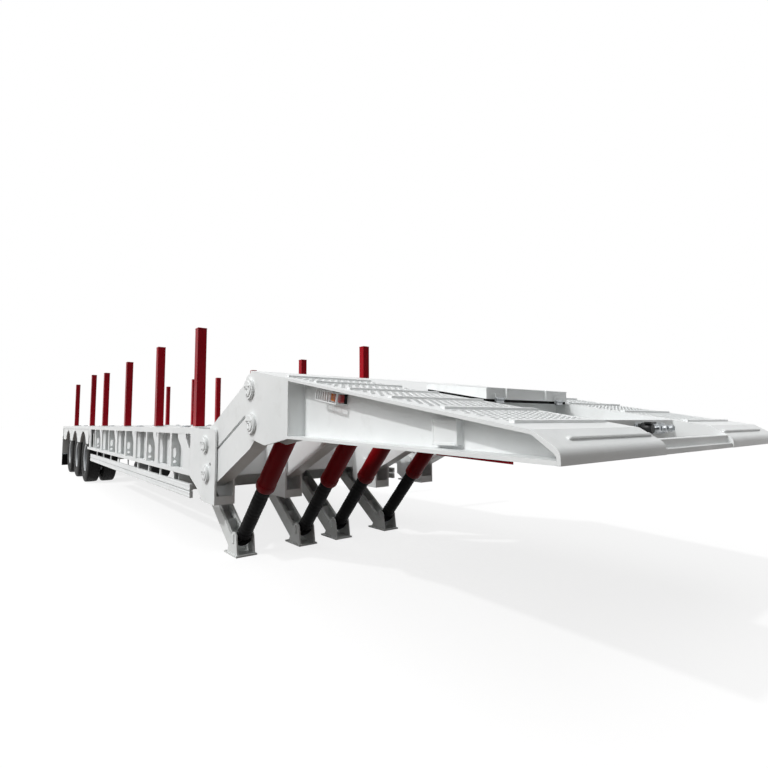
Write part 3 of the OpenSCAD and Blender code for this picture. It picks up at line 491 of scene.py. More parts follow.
class TRAILER_OT_stage(bpy.types.Operator):
    """Sets the pale floor, the light and the camera at the photograph's angle"""
    bl_idname = "trailer.stage"
    bl_label = "Stage"

    def execute(self, context):
        scene = context.scene
        view = scene.trailer_camera
        remove(*[bpy.data.objects[name] for name in ("Light", "Camera") if name in bpy.data.objects])
        scene.view_settings.view_transform = "Standard"
        flat = math.cos(view.pitch)
        forward = Vector((math.cos(view.yaw) * flat, math.sin(view.yaw) * flat, math.sin(view.pitch)))
        level = Vector((math.sin(view.yaw), -math.cos(view.yaw), 0))
        up = level.cross(forward)
        right = level * math.cos(view.roll) + up * math.sin(view.roll)
        up = up * math.cos(view.roll) - level * math.sin(view.roll)
        looking = Matrix((right, up, -forward)).transposed().to_4x4()
        camera = bpy.data.objects.new("photo_camera", bpy.data.cameras.new("photo_camera"))
        scene.collection.objects.link(camera)
        camera.matrix_world = shift(*CAMERA_PLACE) @ looking
        camera.data.sensor_width = 36.0
        camera.data.lens = view.focal
        camera.data.clip_end = 500.0
        scene.camera = camera
        self.floor(view.floor_radius)
        self.light(scene)
        return {"FINISHED"}

    def floor(self, radius):
        circle = bpy.ops.mesh.primitive_circle_add
        floor = start_piece("pale_floor", circle, vertices=96, radius=radius, fill_type="NGON")
        tree = start_material("pale_floor_paint")[0]
        # Pale to the eye, but it throws only a little warm light back up, as dusty ground in a shadow does
        seen = seen_directly(tree)
        tone = add_node(tree, "ShaderNodeMix", {0: seen, 6: linear("#5C534C"), 7: linear("#8A8A8A")}, data_type="RGBA")
        glow = add_node(tree, "ShaderNodeMath", {0: seen, 1: 0.80}, operation="MULTIPLY")
        end_material(tree, {"Base Color": tone.outputs[2], "Roughness": 0.9, "Specular IOR Level": 0.0,
                            "Emission Color": (1, 1, 1, 1), "Emission Strength": glow.outputs[0]})
        floor.data.materials.append(bpy.data.materials["pale_floor_paint"])

    def light(self, scene):
        world = bpy.data.worlds.new("studio")
        world.use_nodes = True
        tree = world.node_tree
        tree.nodes.clear()
        strength = add_node(tree, "ShaderNodeMapRange", {"Value": seen_directly(tree), "To Min": 0.20, "To Max": 1.0})
        glow = add_node(tree, "ShaderNodeBackground", {"Color": (1, 1, 1, 1), "Strength": strength.outputs["Result"]})
        add_node(tree, "ShaderNodeOutputWorld", {"Surface": glow.outputs["Background"]})
        scene.world = world
        # A key from the near side draws the photograph's shadow lines; wide soft ones light the side and the tops
        suns = (("key_light", 1.32, 2, (-0.15, -1.0, 0.9)), ("side_light", 1.05, 36, (-0.1, -1.0, 0.62)),
                ("overhead_light", 0.82, 50, (0.1, -0.35, 1.0)))
        for name, energy, angle, source in suns:
            sun = bpy.data.objects.new(name, bpy.data.lights.new(name, "SUN"))
            scene.collection.objects.link(sun)
            sun.data.energy = energy
            sun.data.angle = math.radians(angle)
            sun.rotation_euler = Vector(source).to_track_quat("Z", "Y").to_euler()


class TRAILER_OT_tyres(bpy.types.Operator):
    """Models one tyre with tread grooves and beads, and copies it to the twelve wheels"""
    bl_idname = "trailer.tyres"
    bl_label = "Tyres"

    def execute(self, context):
        sizes = context.scene.trailer_tyres
        low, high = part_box("tyres_1_right")
        outer = (high.z - low.z) / 2
        bead = sizes.rim_radius
        wall = [(0.093, bead), (0.094, bead + 0.021), (0.104, bead + 0.03), (0.116, bead + 0.062),
                (0.1255, bead + 0.09), (0.129, bead + 0.112), (0.1275, outer - 0.1), (0.1235, outer - 0.07),
                (0.1215, outer - 0.066), (0.1205, outer - 0.046), (0.1155, outer - 0.03), (0.108, outer - 0.014),
                (0.1, outer - 0.006)]
        half, lean = 0.0055, 0.0015
        tread = []
        for middle in (0.072, 0.036, 0.0):
            crown = outer - 0.3 * middle ** 2
            bottom = crown - sizes.groove
            tread += [(middle + half, crown), (middle + half - lean, bottom)]
            if middle:
                tread += [(middle - half + lean, bottom), (middle - half, crown)]
        profile = wall + tread
        profile += [(-height, radius) for height, radius in reversed(profile)]
        tyre = turned("tyre", profile + profile[:1], sizes.segments, closed=True)
        self.cut_lugs(tyre, outer, sizes)
        for node, end, sign in each_wheel("tyres"):
            low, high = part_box(node)
            x, z = (low.x + high.x) / 2, (low.z + high.z) / 2
            ys = (low.y + TYRE_WIDTH / 2, high.y - TYRE_WIDTH / 2)
            pair = join_pieces(f"tyre_pair_{end}", [copy_piece(tyre, along_y(x, y, z, sign)) for y in ys])
            dress(pair, f"wheels_{end}", "tyre")
            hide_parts(node)
        remove(tyre)
        return {"FINISHED"}

    def cut_lugs(self, tyre, outer, sizes):
        """Shoulder ribs get a cross groove at every fourth step."""
        edit_piece(tyre)
        step = math.tau / sizes.segments

        def on_groove(face):
            middle = face.calc_center_median()
            place = int(math.floor(math.atan2(middle.y, middle.x) / step + 1e-6))
            on_top = math.hypot(middle.x, middle.y) > outer - 0.012
            return place % 4 == 0 and 0.078 < abs(middle.z) < 0.1005 and on_top

        pick(tyre, "faces", on_groove)
        bpy.ops.mesh.inset(thickness=0.0015, depth=-0.008, use_individual=True)
        end_edit(35)


class TRAILER_OT_wheels(bpy.types.Operator):
    """Models one dished steel disc wheel with its rim, and puts twelve on hubs with their nuts and caps"""
    bl_idname = "trailer.wheels"
    bl_label = "Wheels"

    def execute(self, context):
        bead = context.scene.trailer_tyres.rim_radius
        wheel = join_pieces("disc_wheel", [self.rim(bead), self.disc(bead)])
        hub = self.hub()
        for node, end, sign in each_wheel("wheel"):
            low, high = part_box(node)
            outer = along_y((low.x + high.x) / 2, sign * WHEEL_MIDDLE, (low.z + high.z) / 2, sign)
            inner = outer @ turn("X", math.pi)
            parts = [copy_piece(wheel, outer), copy_piece(wheel, inner), copy_piece(hub, outer)]
            made = dress(join_pieces(f"disc_wheels_{end}", parts), f"wheels_{end}", "silver_paint")
            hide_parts(node)
        remove(wheel, hub)
        return {"FINISHED"}

    def rim(self, bead):
        """Drop-centre rim, drawn from its outer flange to its inner one and back along its inside."""
        face = [(0.258, 0.020), (0.252, 0.022), (0.247, 0.006), (0.240, -0.001), (0.198, -0.006), (0.182, -0.026),
                (0.128, -0.028), (0.112, -0.006), (0.062, -0.001), (0.055, 0.006), (0.050, 0.020), (0.043, 0.019)]
        inside = [(0.048, -0.004), (0.060, -0.010), (0.108, -0.013), (0.124, -0.036), (0.186, -0.034),
                  (0.203, -0.013), (0.242, -0.008), (0.252, 0.002)]
        profile = [(height, bead + step) for height, step in face + inside]
        return turned("rim", profile + profile[:1], 72, closed=True)

    def disc(self, bead):
        """Dished disc: flat round the studs, then a cone out to the rim, with eight hand holes."""
        profile = [(0.085, bead - 0.010), (0.045, 0.222), (0.021, 0.198), (0.014, 0.186), (0.014, 0.120),
                   (0.001, 0.120), (0.001, 0.190), (0.009, 0.204), (0.034, 0.228), (0.075, bead - 0.009)]
        disc = turned("disc", profile + profile[:1], 72, closed=True)
        holes = 8
        hole = turned("hand_hole", [(-0.02, 0.017), (0.09, 0.017)], 20)
        put(hole, Matrix.Diagonal((0.8, 1.6, 1, 1)))
        carve(disc, repeat("hand_holes", hole, round_places(holes, 0.213, 0, math.pi / holes)))
        edit_piece(disc)
        end_edit(30)
        return disc

    def hub(self):
        """Hub with its flange, ten studs and nuts, and a bolted grease cap."""
        body = turned("hub", [(-0.02, 0.118), (0.020, 0.118), (0.026, 0.112), (0.030, 0.104), (0.105, 0.096),
                              (0.112, 0.104), (0.126, 0.104), (0.131, 0.099)], 48)
        cap = turned("cap", [(0.131, 0.086), (0.158, 0.082), (0.172, 0.070), (0.178, 0.050)], 48, smooth=50)
        nuts = repeat("wheel_nuts", hex_bolt(0.037, shank=0.026), round_places(10, 0.150, 0.015))
        screws = repeat("cap_screws", hex_bolt(0.016), round_places(6, 0.094, 0.131, math.pi / 6))
        return join_pieces("hub", [body, cap, nuts, screws])


class TRAILER_OT_ramp_grip(bpy.types.Operator):
    """Rolled grip pattern between the ramps' ribs: staggered low bars in rows"""
    bl_idname = "trailer.ramp_grip"
    bl_label = "Ramp grip"

    def execute(self, context):
        grip = context.scene.trailer_ramps
        half, bars = grip.bar_length / 2, 13
        bar = block("grip_bar", (-0.0045, -half, -0.0005), (0.0045, half, grip.bar_height), 0.0018)
        step = 0.660 / bars
        settings = {"use_relative_offset": False, "use_constant_offset": True}
        modify(bar, "ARRAY", count=bars, constant_offset_displace=(0, step, 0), **settings)
        second = copy_piece(bar, shift(grip.row_pitch, step / 2, 0))
        rows = join_pieces("grip_rows", [bar, second])
        modify(rows, "ARRAY", count=4, constant_offset_displace=(2 * grip.row_pitch, 0, 0), **settings)
        slope = turn("Y", RAMP_ANGLE)
        margin = (RIB_PITCH - RIB_WIDTH - 7 * grip.row_pitch) / 2
        for side, sign in SIDES:
            first = 0.497 if sign > 0 else -1.150
            starts = [RIB_FRONT - bay * RIB_PITCH + RIB_WIDTH + margin for bay in range(1, RIB_COUNT)]
            made = [copy_piece(rows, at(x, first, ramp_height(x)) @ slope) for x in starts]
            dress(join_pieces(f"ramp_grip_{side}", made), "gooseneck", "white_paint")
        remove(rows)
        return {"FINISHED"}


class TRAILER_OT_marker_lamps(bpy.types.Operator):
    """Side marker lamps: red and amber lenses on a black base, behind a cage of upright bars"""
    bl_idname = "trailer.marker_lamps"
    bl_label = "Marker lamps"

    def execute(self, context):
        for side, sign in SIDES:
            # Drawn along the ramp's slope from the station where the lamp starts; y is the distance from the web
            place = at(2.687, sign * NECK_WEB, 1.3225) @ turn("Y", RAMP_ANGLE)

            def bar(xs, ys, zs, round_off=0.0012):
                made = block("bar", (xs[0], sign * ys[0], zs[0]), (xs[1], sign * ys[1], zs[1]), round_off)
                put(made, place)
                return made

            cage = self.cage(bar, (0.002, 0.028), (0.000, 0.108), (0.102, 0.108))
            cage.append(bar((0.101, 0.108), (0.068, 0.080), (0.004, 0.064)))
            cage = dress(join_pieces(f"marker_lamp_cage_{side}", cage), "gooseneck", "white_paint")
            guard = self.cage(bar, (-0.120, -0.096, -0.072, -0.048, -0.024), (-0.122, -0.001), (-0.122, -0.116))
            dress(join_pieces(f"marker_lamp_guard_{side}", guard), "gooseneck", "white_paint")
            base = bar((-0.050, 0.102), (0.0, 0.014), (0.006, 0.063))
            dress(join_pieces(f"marker_base_{side}", [base]), "gooseneck", "black_paint")
            for colour, spans in (("red", ((-0.046, -0.004), (0.038, 0.096))), ("amber", ((-0.002, 0.036),))):
                glass = [bar(xs, (0.012, 0.048), (0.010, 0.059), 0.005) for xs in spans]
                dress(join_pieces(f"marker_{colour}_lens_{side}", glass), "gooseneck", f"{colour}_lens")
            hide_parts("marker_lamps")
        return {"FINISHED"}

    def cage(self, bar, uprights, rail, stay):
        """Upright bars from their stations, the two rails that hold them, and a stay from each rail to the web."""
        bars = [bar((x, x + 0.006), (0.068, 0.080), (0.004, 0.064)) for x in uprights]
        for xs, ys in ((rail, (0.066, 0.080)), (stay, (0.0, 0.070))):
            bars += [bar(xs, ys, (z, z + 0.007)) for z in (0.0, 0.062)]
        return bars


class TRAILER_OT_nose_fittings(bpy.types.Operator):
    """Small parts of the gooseneck: cover boxes' lids, the centre cover's dividers and latches, red edge strips"""
    bl_idname = "trailer.nose_fittings"
    bl_label = "Nose fittings"

    def execute(self, context):
        self.box_lids()
        self.centre_cover()
        # The black strip under the centre cover is painted shadow for the gap beneath it
        self.cover_seal()
        self.edge_strips()
        return {"FINISHED"}

    def box_lids(self):
        low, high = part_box("cover_boxes")
        for side, sign in SIDES:
            front = NECK_WEB + 0.040
            back = block("back", (low.x - 0.018, sign * NECK_WEB, low.z - 0.024),
                         (high.x + 0.004, sign * (NECK_WEB + 0.004), high.z + 0.006), 0.001)
            lid = block("lid", (low.x - 0.003, sign * (front - 0.012), low.z - 0.003),
                        (high.x + 0.003, sign * (front + 0.003), high.z + 0.003))
            edit_piece(lid)
            pick(lid, "faces", lambda face: face.normal.y * sign > 0.9 and face.calc_area() > 0.005)
            bpy.ops.mesh.inset(thickness=0.010)
            bpy.ops.mesh.inset(thickness=0.002, depth=-0.002)
            end_edit()
            corners = [(x, z) for x in (low.x + 0.004, high.x - 0.004) for z in (low.z + 0.004, high.z - 0.004)]
            places = [along_y(x, sign * (front + 0.003), z, sign) for x, z in corners]
            screws = repeat("screws", hex_bolt(0.007), places)
            dress(join_pieces(f"cover_box_lid_{side}", [back, lid, screws]), "gooseneck", "white_paint")

    def centre_cover(self):
        front, half, rise = 3.217, 0.430, 0.079
        top = ramp_height(front) + rise

        def bar(name, steps, ys, drops, round_off):
            """Steps are along the trailer from the cover's front, drops upwards from its top."""
            return block(name, spot(front + steps[0], ys[0], top + drops[0]),
                         spot(front + steps[1], ys[1], top + drops[1]), round_off)

        trim = [bar("divider", (-0.004, 0.016), (y - 0.009, y + 0.009), (-0.062, 0.003), 0.002)
                for y in (-0.248, 0.168)]
        trim.append(bar("eyebrow", (-0.010, 0.006), (-half, half), (-0.002, 0.004), 0.0015))
        catches = []
        for y in (-0.335, 0.300):
            trim.append(bar("hasp", (0.0, 0.010), (y - 0.022, y + 0.022), (-0.085, -0.030), 0.002))
            catches.append(bar("catch", (0.008, 0.030), (y - 0.034, y + 0.034), (-0.092, -0.072), 0.004))
            hook = turned("hook", [(-0.040, 0.007), (-0.038, 0.009), (0.038, 0.009), (0.040, 0.007)], 14)
            put(hook, facing(spot(front + 0.024, y, top - 0.064), (0, 1, 0)))
            catches.append(hook)
        dress(join_pieces("centre_cover_trim", trim), "gooseneck", "white_paint")
        dress(join_pieces("centre_cover_catches", catches), "gooseneck", "zinc")

    def cover_seal(self):
        """Black strip in the gap under the centre cover's sides and front: a dark sheet that paints in the shadow in
        that gap.
        """
        rear, front, half, wide = 2.716, 3.211, 0.426, 0.010
        low, high = -0.001, 0.0135
        under = [(x, ramp_height(x) + rise)
                 for x, rise in ((rear, low), (front, low), (front, high), (rear, high))]
        parts = [plate("seal", under, y, y + wide, 0.001) for y in (-half, half - wide)]
        parts.append(block("seal", spot(front - wide, -half, ramp_height(front) - 0.004),
                           spot(front, half, ramp_height(front) + high), 0.001))
        dress(join_pieces("centre_cover_seal", parts), "gooseneck", "black_rubber")

    def edge_strips(self):
        outline = [(3.610, 1.0745), (3.996, 1.0649), (3.996, 1.0535), (3.610, 1.0690)]
        for side, sign in SIDES:
            strip = plate(f"red_edge_strip_{side}", outline, sign * 1.236, sign * 1.240, 0.001)
            dress(strip, "gooseneck", "red_paint")


class TRAILER_OT_nose(bpy.types.Operator):
    """Front of the ramps: plates bent over in a soft curve, a raised bar on each, and the low beam between them"""
    bl_idname = "trailer.nose"
    bl_label = "Nose"

    def execute(self, context):
        start, lip, low, thick, inner = (4.080, 1.178), (4.190, 1.110), 1.060, 0.016, 0.433
        inside = (lip[0] - thick, lip[1] - thick)
        under_start = (start[0], start[1] - thick)
        outline = [start, *self.bend(start, lip, (lip[0], low), 0.026), (lip[0], low), (inside[0], low),
                   *self.bend((inside[0], low), inside, under_start, 0.014), under_start]
        angle = math.atan2(start[1] - lip[1], lip[0] - start[0])
        middle = spot((start[0] + lip[0]) / 2, 0, (start[1] + lip[1]) / 2)
        parts = []
        for sign in SIGNS:
            bent = plate("bent_plate", outline, sign * inner, sign * HALF_WIDTH, 0.0008)
            edit_piece(bent)
            end_edit(30)
            ends = (sign * 0.460, sign * 1.112)
            bar = block("bar", (-0.008, ends[0], -0.004), (0.008, ends[1], 0.012), 0.003)
            edit_piece(bar)
            pick(bar, "faces", lambda face: face.normal.z > 0.9)
            bpy.ops.transform.resize(value=(0.8, 0.97, 1), center_override=(0, sum(ends) / 2, 0.012))
            end_edit()
            put(bar, shift(*middle) @ turn("Y", angle))
            parts += [bent, bar]
        rear, step, face, shelf, top = 4.115, 4.165, 4.185, low + 0.026, low + 0.067
        section = [(rear, low), (face, low), (face, shelf), (step, shelf), (step, top), (rear, top)]
        parts.append(plate("low_beam", section, -inner, inner, 0.003))
        made = dress(join_pieces("nose_panels", parts), "gooseneck", "white_paint")
        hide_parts("nose_plates")
        return {"FINISHED"}

    def bend(self, before, corner, after, reach):
        """Points of a soft bend that leaves its two straight sides at a reach from their corner."""
        def on_side(end):
            length = math.dist(corner, end)
            return [corner[axis] + (end[axis] - corner[axis]) * reach / length for axis in (0, 1)]

        ends = list(zip(on_side(before), corner, on_side(after)))
        return [tuple((1 - t) ** 2 * first + 2 * t * (1 - t) * middle + t * t * last for first, middle, last in ends)
                for t in (0, 0.2, 0.4, 0.6, 0.8, 1)]


class TRAILER_OT_couplings(bpy.types.Operator):
    """Air and electric couplings on the wall at the nose: turned bodies with collars and sprung caps"""
    bl_idname = "trailer.couplings"
    bl_label = "Couplings"

    def execute(self, context):
        wall, height = 3.892, 1.165
        face = wall + 0.008

        def on_face(y, z):
            return facing(spot(face, y, z), (1, 0, 0))

        board = block("board", spot(wall, -0.060, height - 0.030), spot(face, 0.300, height + 0.030))
        head = turned("coupling", [(0.0, 0.026), (0.010, 0.026), (0.012, 0.019), (0.026, 0.019), (0.027, 0.022),
                                   (0.031, 0.022), (0.032, 0.017), (0.044, 0.017), (0.046, 0.020), (0.058, 0.020),
                                   (0.062, 0.016), (0.062, 0.012), (0.056, 0.011)], 28)
        heads = repeat("couplings", head, [on_face(y, height) for y in (0.100, 0.180, 0.260)])
        corners = [on_face(y, height + dz) for y in (-0.045, 0.140, 0.285) for dz in (-0.020, 0.020)]
        screws = repeat("screws", hex_bolt(0.012), corners)
        made = dress(join_pieces("air_couplings", [board, screws, heads]), "gooseneck", "zinc")
        profile = [(0.0, 0.032), (0.006, 0.034), (0.040, 0.031), (0.050, 0.028), (0.054, 0.024)]
        socket = turned("plug_socket", profile, 28)
        put(socket, on_face(0.015, height))
        flap = block("socket_flap", spot(wall + 0.030, -0.022, height + 0.024),
                     spot(wall + 0.068, 0.052, height + 0.036), 0.004)
        dress(join_pieces("electric_socket", [socket, flap]), "gooseneck", "black_paint")
        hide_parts("air_couplings")
        return {"FINISHED"}


class TRAILER_OT_cylinders(bpy.types.Operator):
    """Gland rings and ports on the barrels, and the soft rubber sleeves on their rods"""
    bl_idname = "trailer.cylinders"
    bl_label = "Cylinders"

    def execute(self, context):
        gland = turned("gland", [(0.930, 0.0795), (0.934, 0.0835), (0.988, 0.0845), (0.996, 0.081), (1.0005, 0.074),
                                 (0.9995, 0.068)], 48)
        weld = turned("weld", [(0.098, 0.0795), (0.102, 0.0825), (0.108, 0.0835), (0.114, 0.0825), (0.118, 0.0795)], 48)
        port = block("port", (0.070, -0.024, 0.150), (0.098, 0.024, 0.205), 0.003)
        union = turned("union", [(0.0, 0.014), (0.012, 0.014), (0.013, 0.010), (0.024, 0.010)], 6)
        put(union, facing(Vector((0.098, 0, 0.178)), (1, 0, 0)))
        places = [cylinder_place(y, 0) for y in CYLINDER_YS]
        made = repeat("barrel_fittings", join_pieces("barrel_fittings", [gland, weld, port, union]), places)
        # The barrel fittings take the same darker red, with its painted shade
        dress(made, "cylinder_barrels", "red_paint", "cylinder_red_enamel")
        sleeve = self.sleeve(context.scene.trailer_cylinders.fold_depth, (Vector(EYE_TOP) - Vector(EYE_LOW)).length)
        made = dress(repeat("rod_sleeves", sleeve, places), "cylinder_rods", "black_rubber")
        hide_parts("cylinder_rods")
        return {"FINISHED"}

    def sleeve(self, fold_depth, length):
        """A rubber sock with soft folds from the foot's pin up into the barrel, and a flattened eye at its end."""
        full, start, steps = 0.065, length - 1.100, 88
        first, last = start + 0.010, length - 0.075
        profile = [(start, full - 0.004)]
        for step in range(steps):
            # Four steps make a fold; slower waves vary how high and how deep the folds are
            wave = math.sin(step * math.pi / 2 + 0.4 * math.sin(step * 0.7))
            depth = fold_depth * (0.55 + 0.45 * math.sin(step * 0.31 + 1.1))
            profile.append((first + (last - first) * step / steps, full - depth * (0.5 + 0.5 * wave)))
        profile += [(length - 0.072, full), (length - 0.066, full), (length - 0.040, full - 0.002),
                    (length - 0.030, full - 0.012)]
        sock = turned("sleeve", profile, 48, smooth=60)
        across = shift(0, 0, length) @ turn("X", math.pi / 2)
        eye = turned("eye", [(-0.048, 0.058), (-0.042, 0.065), (0.042, 0.065), (0.048, 0.058)], 40)
        put(eye, across)
        hole = turned("hole", [(-0.08, 0.042), (0.08, 0.042)], 32)
        put(hole, across)
        carve(eye, hole)
        clamp = turned("clamp", [(length - 0.100, 0.0640), (length - 0.099, 0.0665), (length - 0.087, 0.0665),
                                 (length - 0.086, 0.0640)], 48)
        return join_pieces("sleeve", [sock, eye, clamp])


class TRAILER_OT_legs(bpy.types.Operator):
    """Inclined legs: channels open to the front, with rims turned in and stiffeners, on their hollow cross beam"""
    bl_idname = "trailer.legs"
    bl_label = "Legs"

    def execute(self, context):
        half, wall, back, front, depth = 0.073, 0.012, -0.200, 0.565, 0.1565

        def height(x):
            return 0.170 + 0.67 * (front - x)

        def strip(top, low):
            return [(front, max(0.016, height(front) - low)), (front, height(front) - top), (back, height(back) - top),
                    (back, height(back) - low)]

        parts = []
        for y in CYLINDER_YS:
            for sign in SIGNS:
                face = y + sign * (half - wall)
                parts.append(plate("cheek", strip(0, depth), y + sign * half, face))
                parts.append(plate("rim", strip(0, 0.012), face, face - sign * 0.014))
            sides = (y - half + wall, y + half - wall)
            parts.append(plate("web", strip(depth - 0.016, depth), *sides))
            for x in (-0.100, 0.120, 0.340):
                drops = ((0.0, 0.040), (0.010, 0.047), (0.010, depth - 0.010), (0.0, depth - 0.012))
                parts.append(plate("stiffener", [(x + dx, height(x) - drop) for dx, drop in drops], *sides))
        # The hollow cross beam's four walls, each as (rear, front) and (low, high)
        for xs, zs in (((-0.420, -0.408), (0.522, 0.722)), ((-0.212, -0.200), (0.522, 0.722)),
                       ((-0.408, -0.212), (0.522, 0.534)), ((-0.408, -0.212), (0.710, 0.722))):
            parts.append(block("beam_wall", spot(xs[0], -1.190, zs[0]), spot(xs[1], 1.190, zs[1])))
        made = dress(join_pieces("inclined_legs", parts), "deck", "grey_paint")
        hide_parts("support_legs")
        return {"FINISHED"}


class TRAILER_OT_pins(bpy.types.Operator):
    """Locking discs with their bolts on the ends of the link pins, and keeper plates on the foot pins"""
    bl_idname = "trailer.pins"
    bl_label = "Pins"

    def execute(self, context):
        for node, body, points in (("deck_pins", "deck", ((0.775, 1.027), (0.815, 0.777))),
                                   ("gooseneck_pins", "gooseneck", ((1.7168, 1.4562), (1.7568, 1.2062)))):
            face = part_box(node)[1].y
            disc = turned("disc", [(-0.002, 0.058), (0.004, 0.058), (0.007, 0.055), (0.007, 0.020), (0.004, 0.018)], 40)
            bolts = repeat("bolts", hex_bolt(0.018), round_places(3, 0.038, 0.007, 0.5))
            nipple = turned("nipple", [(0.003, 0.006), (0.009, 0.006), (0.010, 0.004), (0.017, 0.0035), (0.020, 0.005),
                                       (0.023, 0.003)], 12)
            cap = join_pieces("cap", [disc, bolts, nipple])
            places = [along_y(x + STATION_0, sign * face, z, sign) for x, z in points for sign in SIGNS]
            dress(repeat(f"{body}_pin_locks", cap, places), body, "white_paint")
        keeper = block("keeper", (-0.012, -0.045, 0.0), (0.012, 0.045, 0.006))
        bolts = repeat("bolts", hex_bolt(0.014), [shift(0, y, 0.006) for y in (-0.033, 0.033)])
        cheek = 0.087
        places = [along_y(EYE_LOW[0] + STATION_0, y + sign * cheek, EYE_LOW[1], sign)
                  for y in CYLINDER_YS for sign in SIGNS]
        made = repeat("foot_pin_keepers", join_pieces("keeper", [keeper, bolts]), places)
        dress(made, "deck", "grey_paint")
        return {"FINISHED"}


class TRAILER_OT_stake_caps(bpy.types.Operator):
    """Pressed caps on the stakes, and turned-over collars round the mouths of their pockets"""
    bl_idname = "trailer.stake_caps"
    bl_label = "Stake caps"

    def execute(self, context):
        # Stations of each pair of stakes, right and left, and how far the pair stands above 2.2 m
        rows = ((-0.04, -0.02, 0.0), (-1.63, -1.66, 0.0), (-3.54, -3.54, 0.0), (-5.61, -5.40, 0.0),
                (-7.21, -7.06, 0.09), (-9.88, -9.34, 0.05))
        stakes = [(x, y, lift) for right, left, lift in rows for x, y in ((right, -1.050), (left, 1.050))]
        cap = block("cap", (-0.047, -0.047, -0.012), (0.047, 0.047, 0.003), 0.003)
        edit_piece(cap)
        pick(cap, "faces", lambda face: face.normal.z > 0.9)
        bpy.ops.mesh.inset(thickness=0.012)
        bpy.ops.mesh.inset(thickness=0.006, depth=0.003)
        end_edit()
        dress(repeat("stake_caps", cap, [at(x, y, 2.200 + lift) for x, y, lift in stakes]), "deck", "red_paint")
        bar = block("bar", (-0.064, 0.049, -0.001), (0.064, 0.061, 0.010), 0.003)
        collar = repeat("collar", bar, [turn("Z", quarter * math.pi / 2) for quarter in range(4)])
        dress(repeat("pocket_collars", collar, [at(x, y, DECK_TOP) for x, y, lift in stakes]), "deck", "white_paint")
        return {"FINISHED"}


class TRAILER_OT_running_gear(bpy.types.Operator):
    """Brake chambers, spring leaves, U-bolts and the lips of the wheel arches"""
    bl_idname = "trailer.running_gear"
    bl_label = "Running gear"

    def execute(self, context):
        ends = [(x, sign) for x in AXLES for sign in SIGNS]
        chamber = turned("chamber", [(0.0, 0.030), (0.004, 0.070), (0.060, 0.078), (0.064, 0.086), (0.078, 0.086),
                                     (0.082, 0.078), (0.135, 0.070), (0.150, 0.045), (0.152, 0.012)], 36)
        bracket = block("bracket", (-0.070, -0.060, -0.016), (0.070, 0.060, 0.002), 0.003)
        stem = turned("stem", [(-0.075, 0.010), (-0.012, 0.010)], 12)
        arm = block("arm", (-0.014, -0.090, -0.085), (0.014, 0.020, -0.065), 0.004)
        chamber = join_pieces("chamber", [chamber, bracket, stem, arm])
        places = [facing(spot(x + 0.140, sign * 0.300, AXLE_HEIGHT + 0.020), (0.35, 0, 1)) for x, sign in ends]
        dress(repeat("brake_chambers", chamber, places), "deck", "black_paint")
        # One spring about its middle over the axle: three leaves, four legs of U-bolts and their plate
        spring = []
        for step, half in enumerate((0.46, 0.34, 0.22)):
            top = 0.626 - 0.0125 * step
            spring.append(block("leaf", (-half, -0.039, top - 0.010), (half, 0.039, top)))
        bolt = turned("u_bolt", [(0.500, 0.009), (0.664, 0.009), (0.670, 0.007)], 10)
        spring.append(repeat("u_bolts", bolt, [shift(x, y, 0) for x in (-0.058, 0.058) for y in (-0.049, 0.049)]))
        spring.append(block("top_plate", (-0.078, -0.062, 0.646), (0.078, 0.062, 0.658), 0.003))
        spring = join_pieces("spring", spring)
        dress(repeat("spring_leaves", spring, [at(x, sign * 0.520, 0) for x, sign in ends]), "deck", "black_paint")
        inner, outer, deep = 0.554, 0.560, -0.060
        section = [(0.0, outer), (0.0, inner), (deep, inner), (deep, outer), (0.0, outer)]
        lip = turned("arch_lip", section, 120, closed=True)
        lips = repeat("arch_lips", lip, [along_y(x + STATION_0, sign * 1.230, AXLE_HEIGHT, sign) for x, sign in ends])
        # The rings are cut off where the aprons end
        edit_piece(lips)
        select_all()
        bpy.ops.mesh.bisect(plane_co=(0, 0, 0.820), plane_no=(0, 0, 1), clear_inner=True)
        select_all()
        bpy.ops.mesh.fill_holes(sides=0)
        bpy.ops.mesh.normals_make_consistent(inside=False)
        end_edit(40)
        dress(lips, "deck", "white_paint")
        return {"FINISHED"}


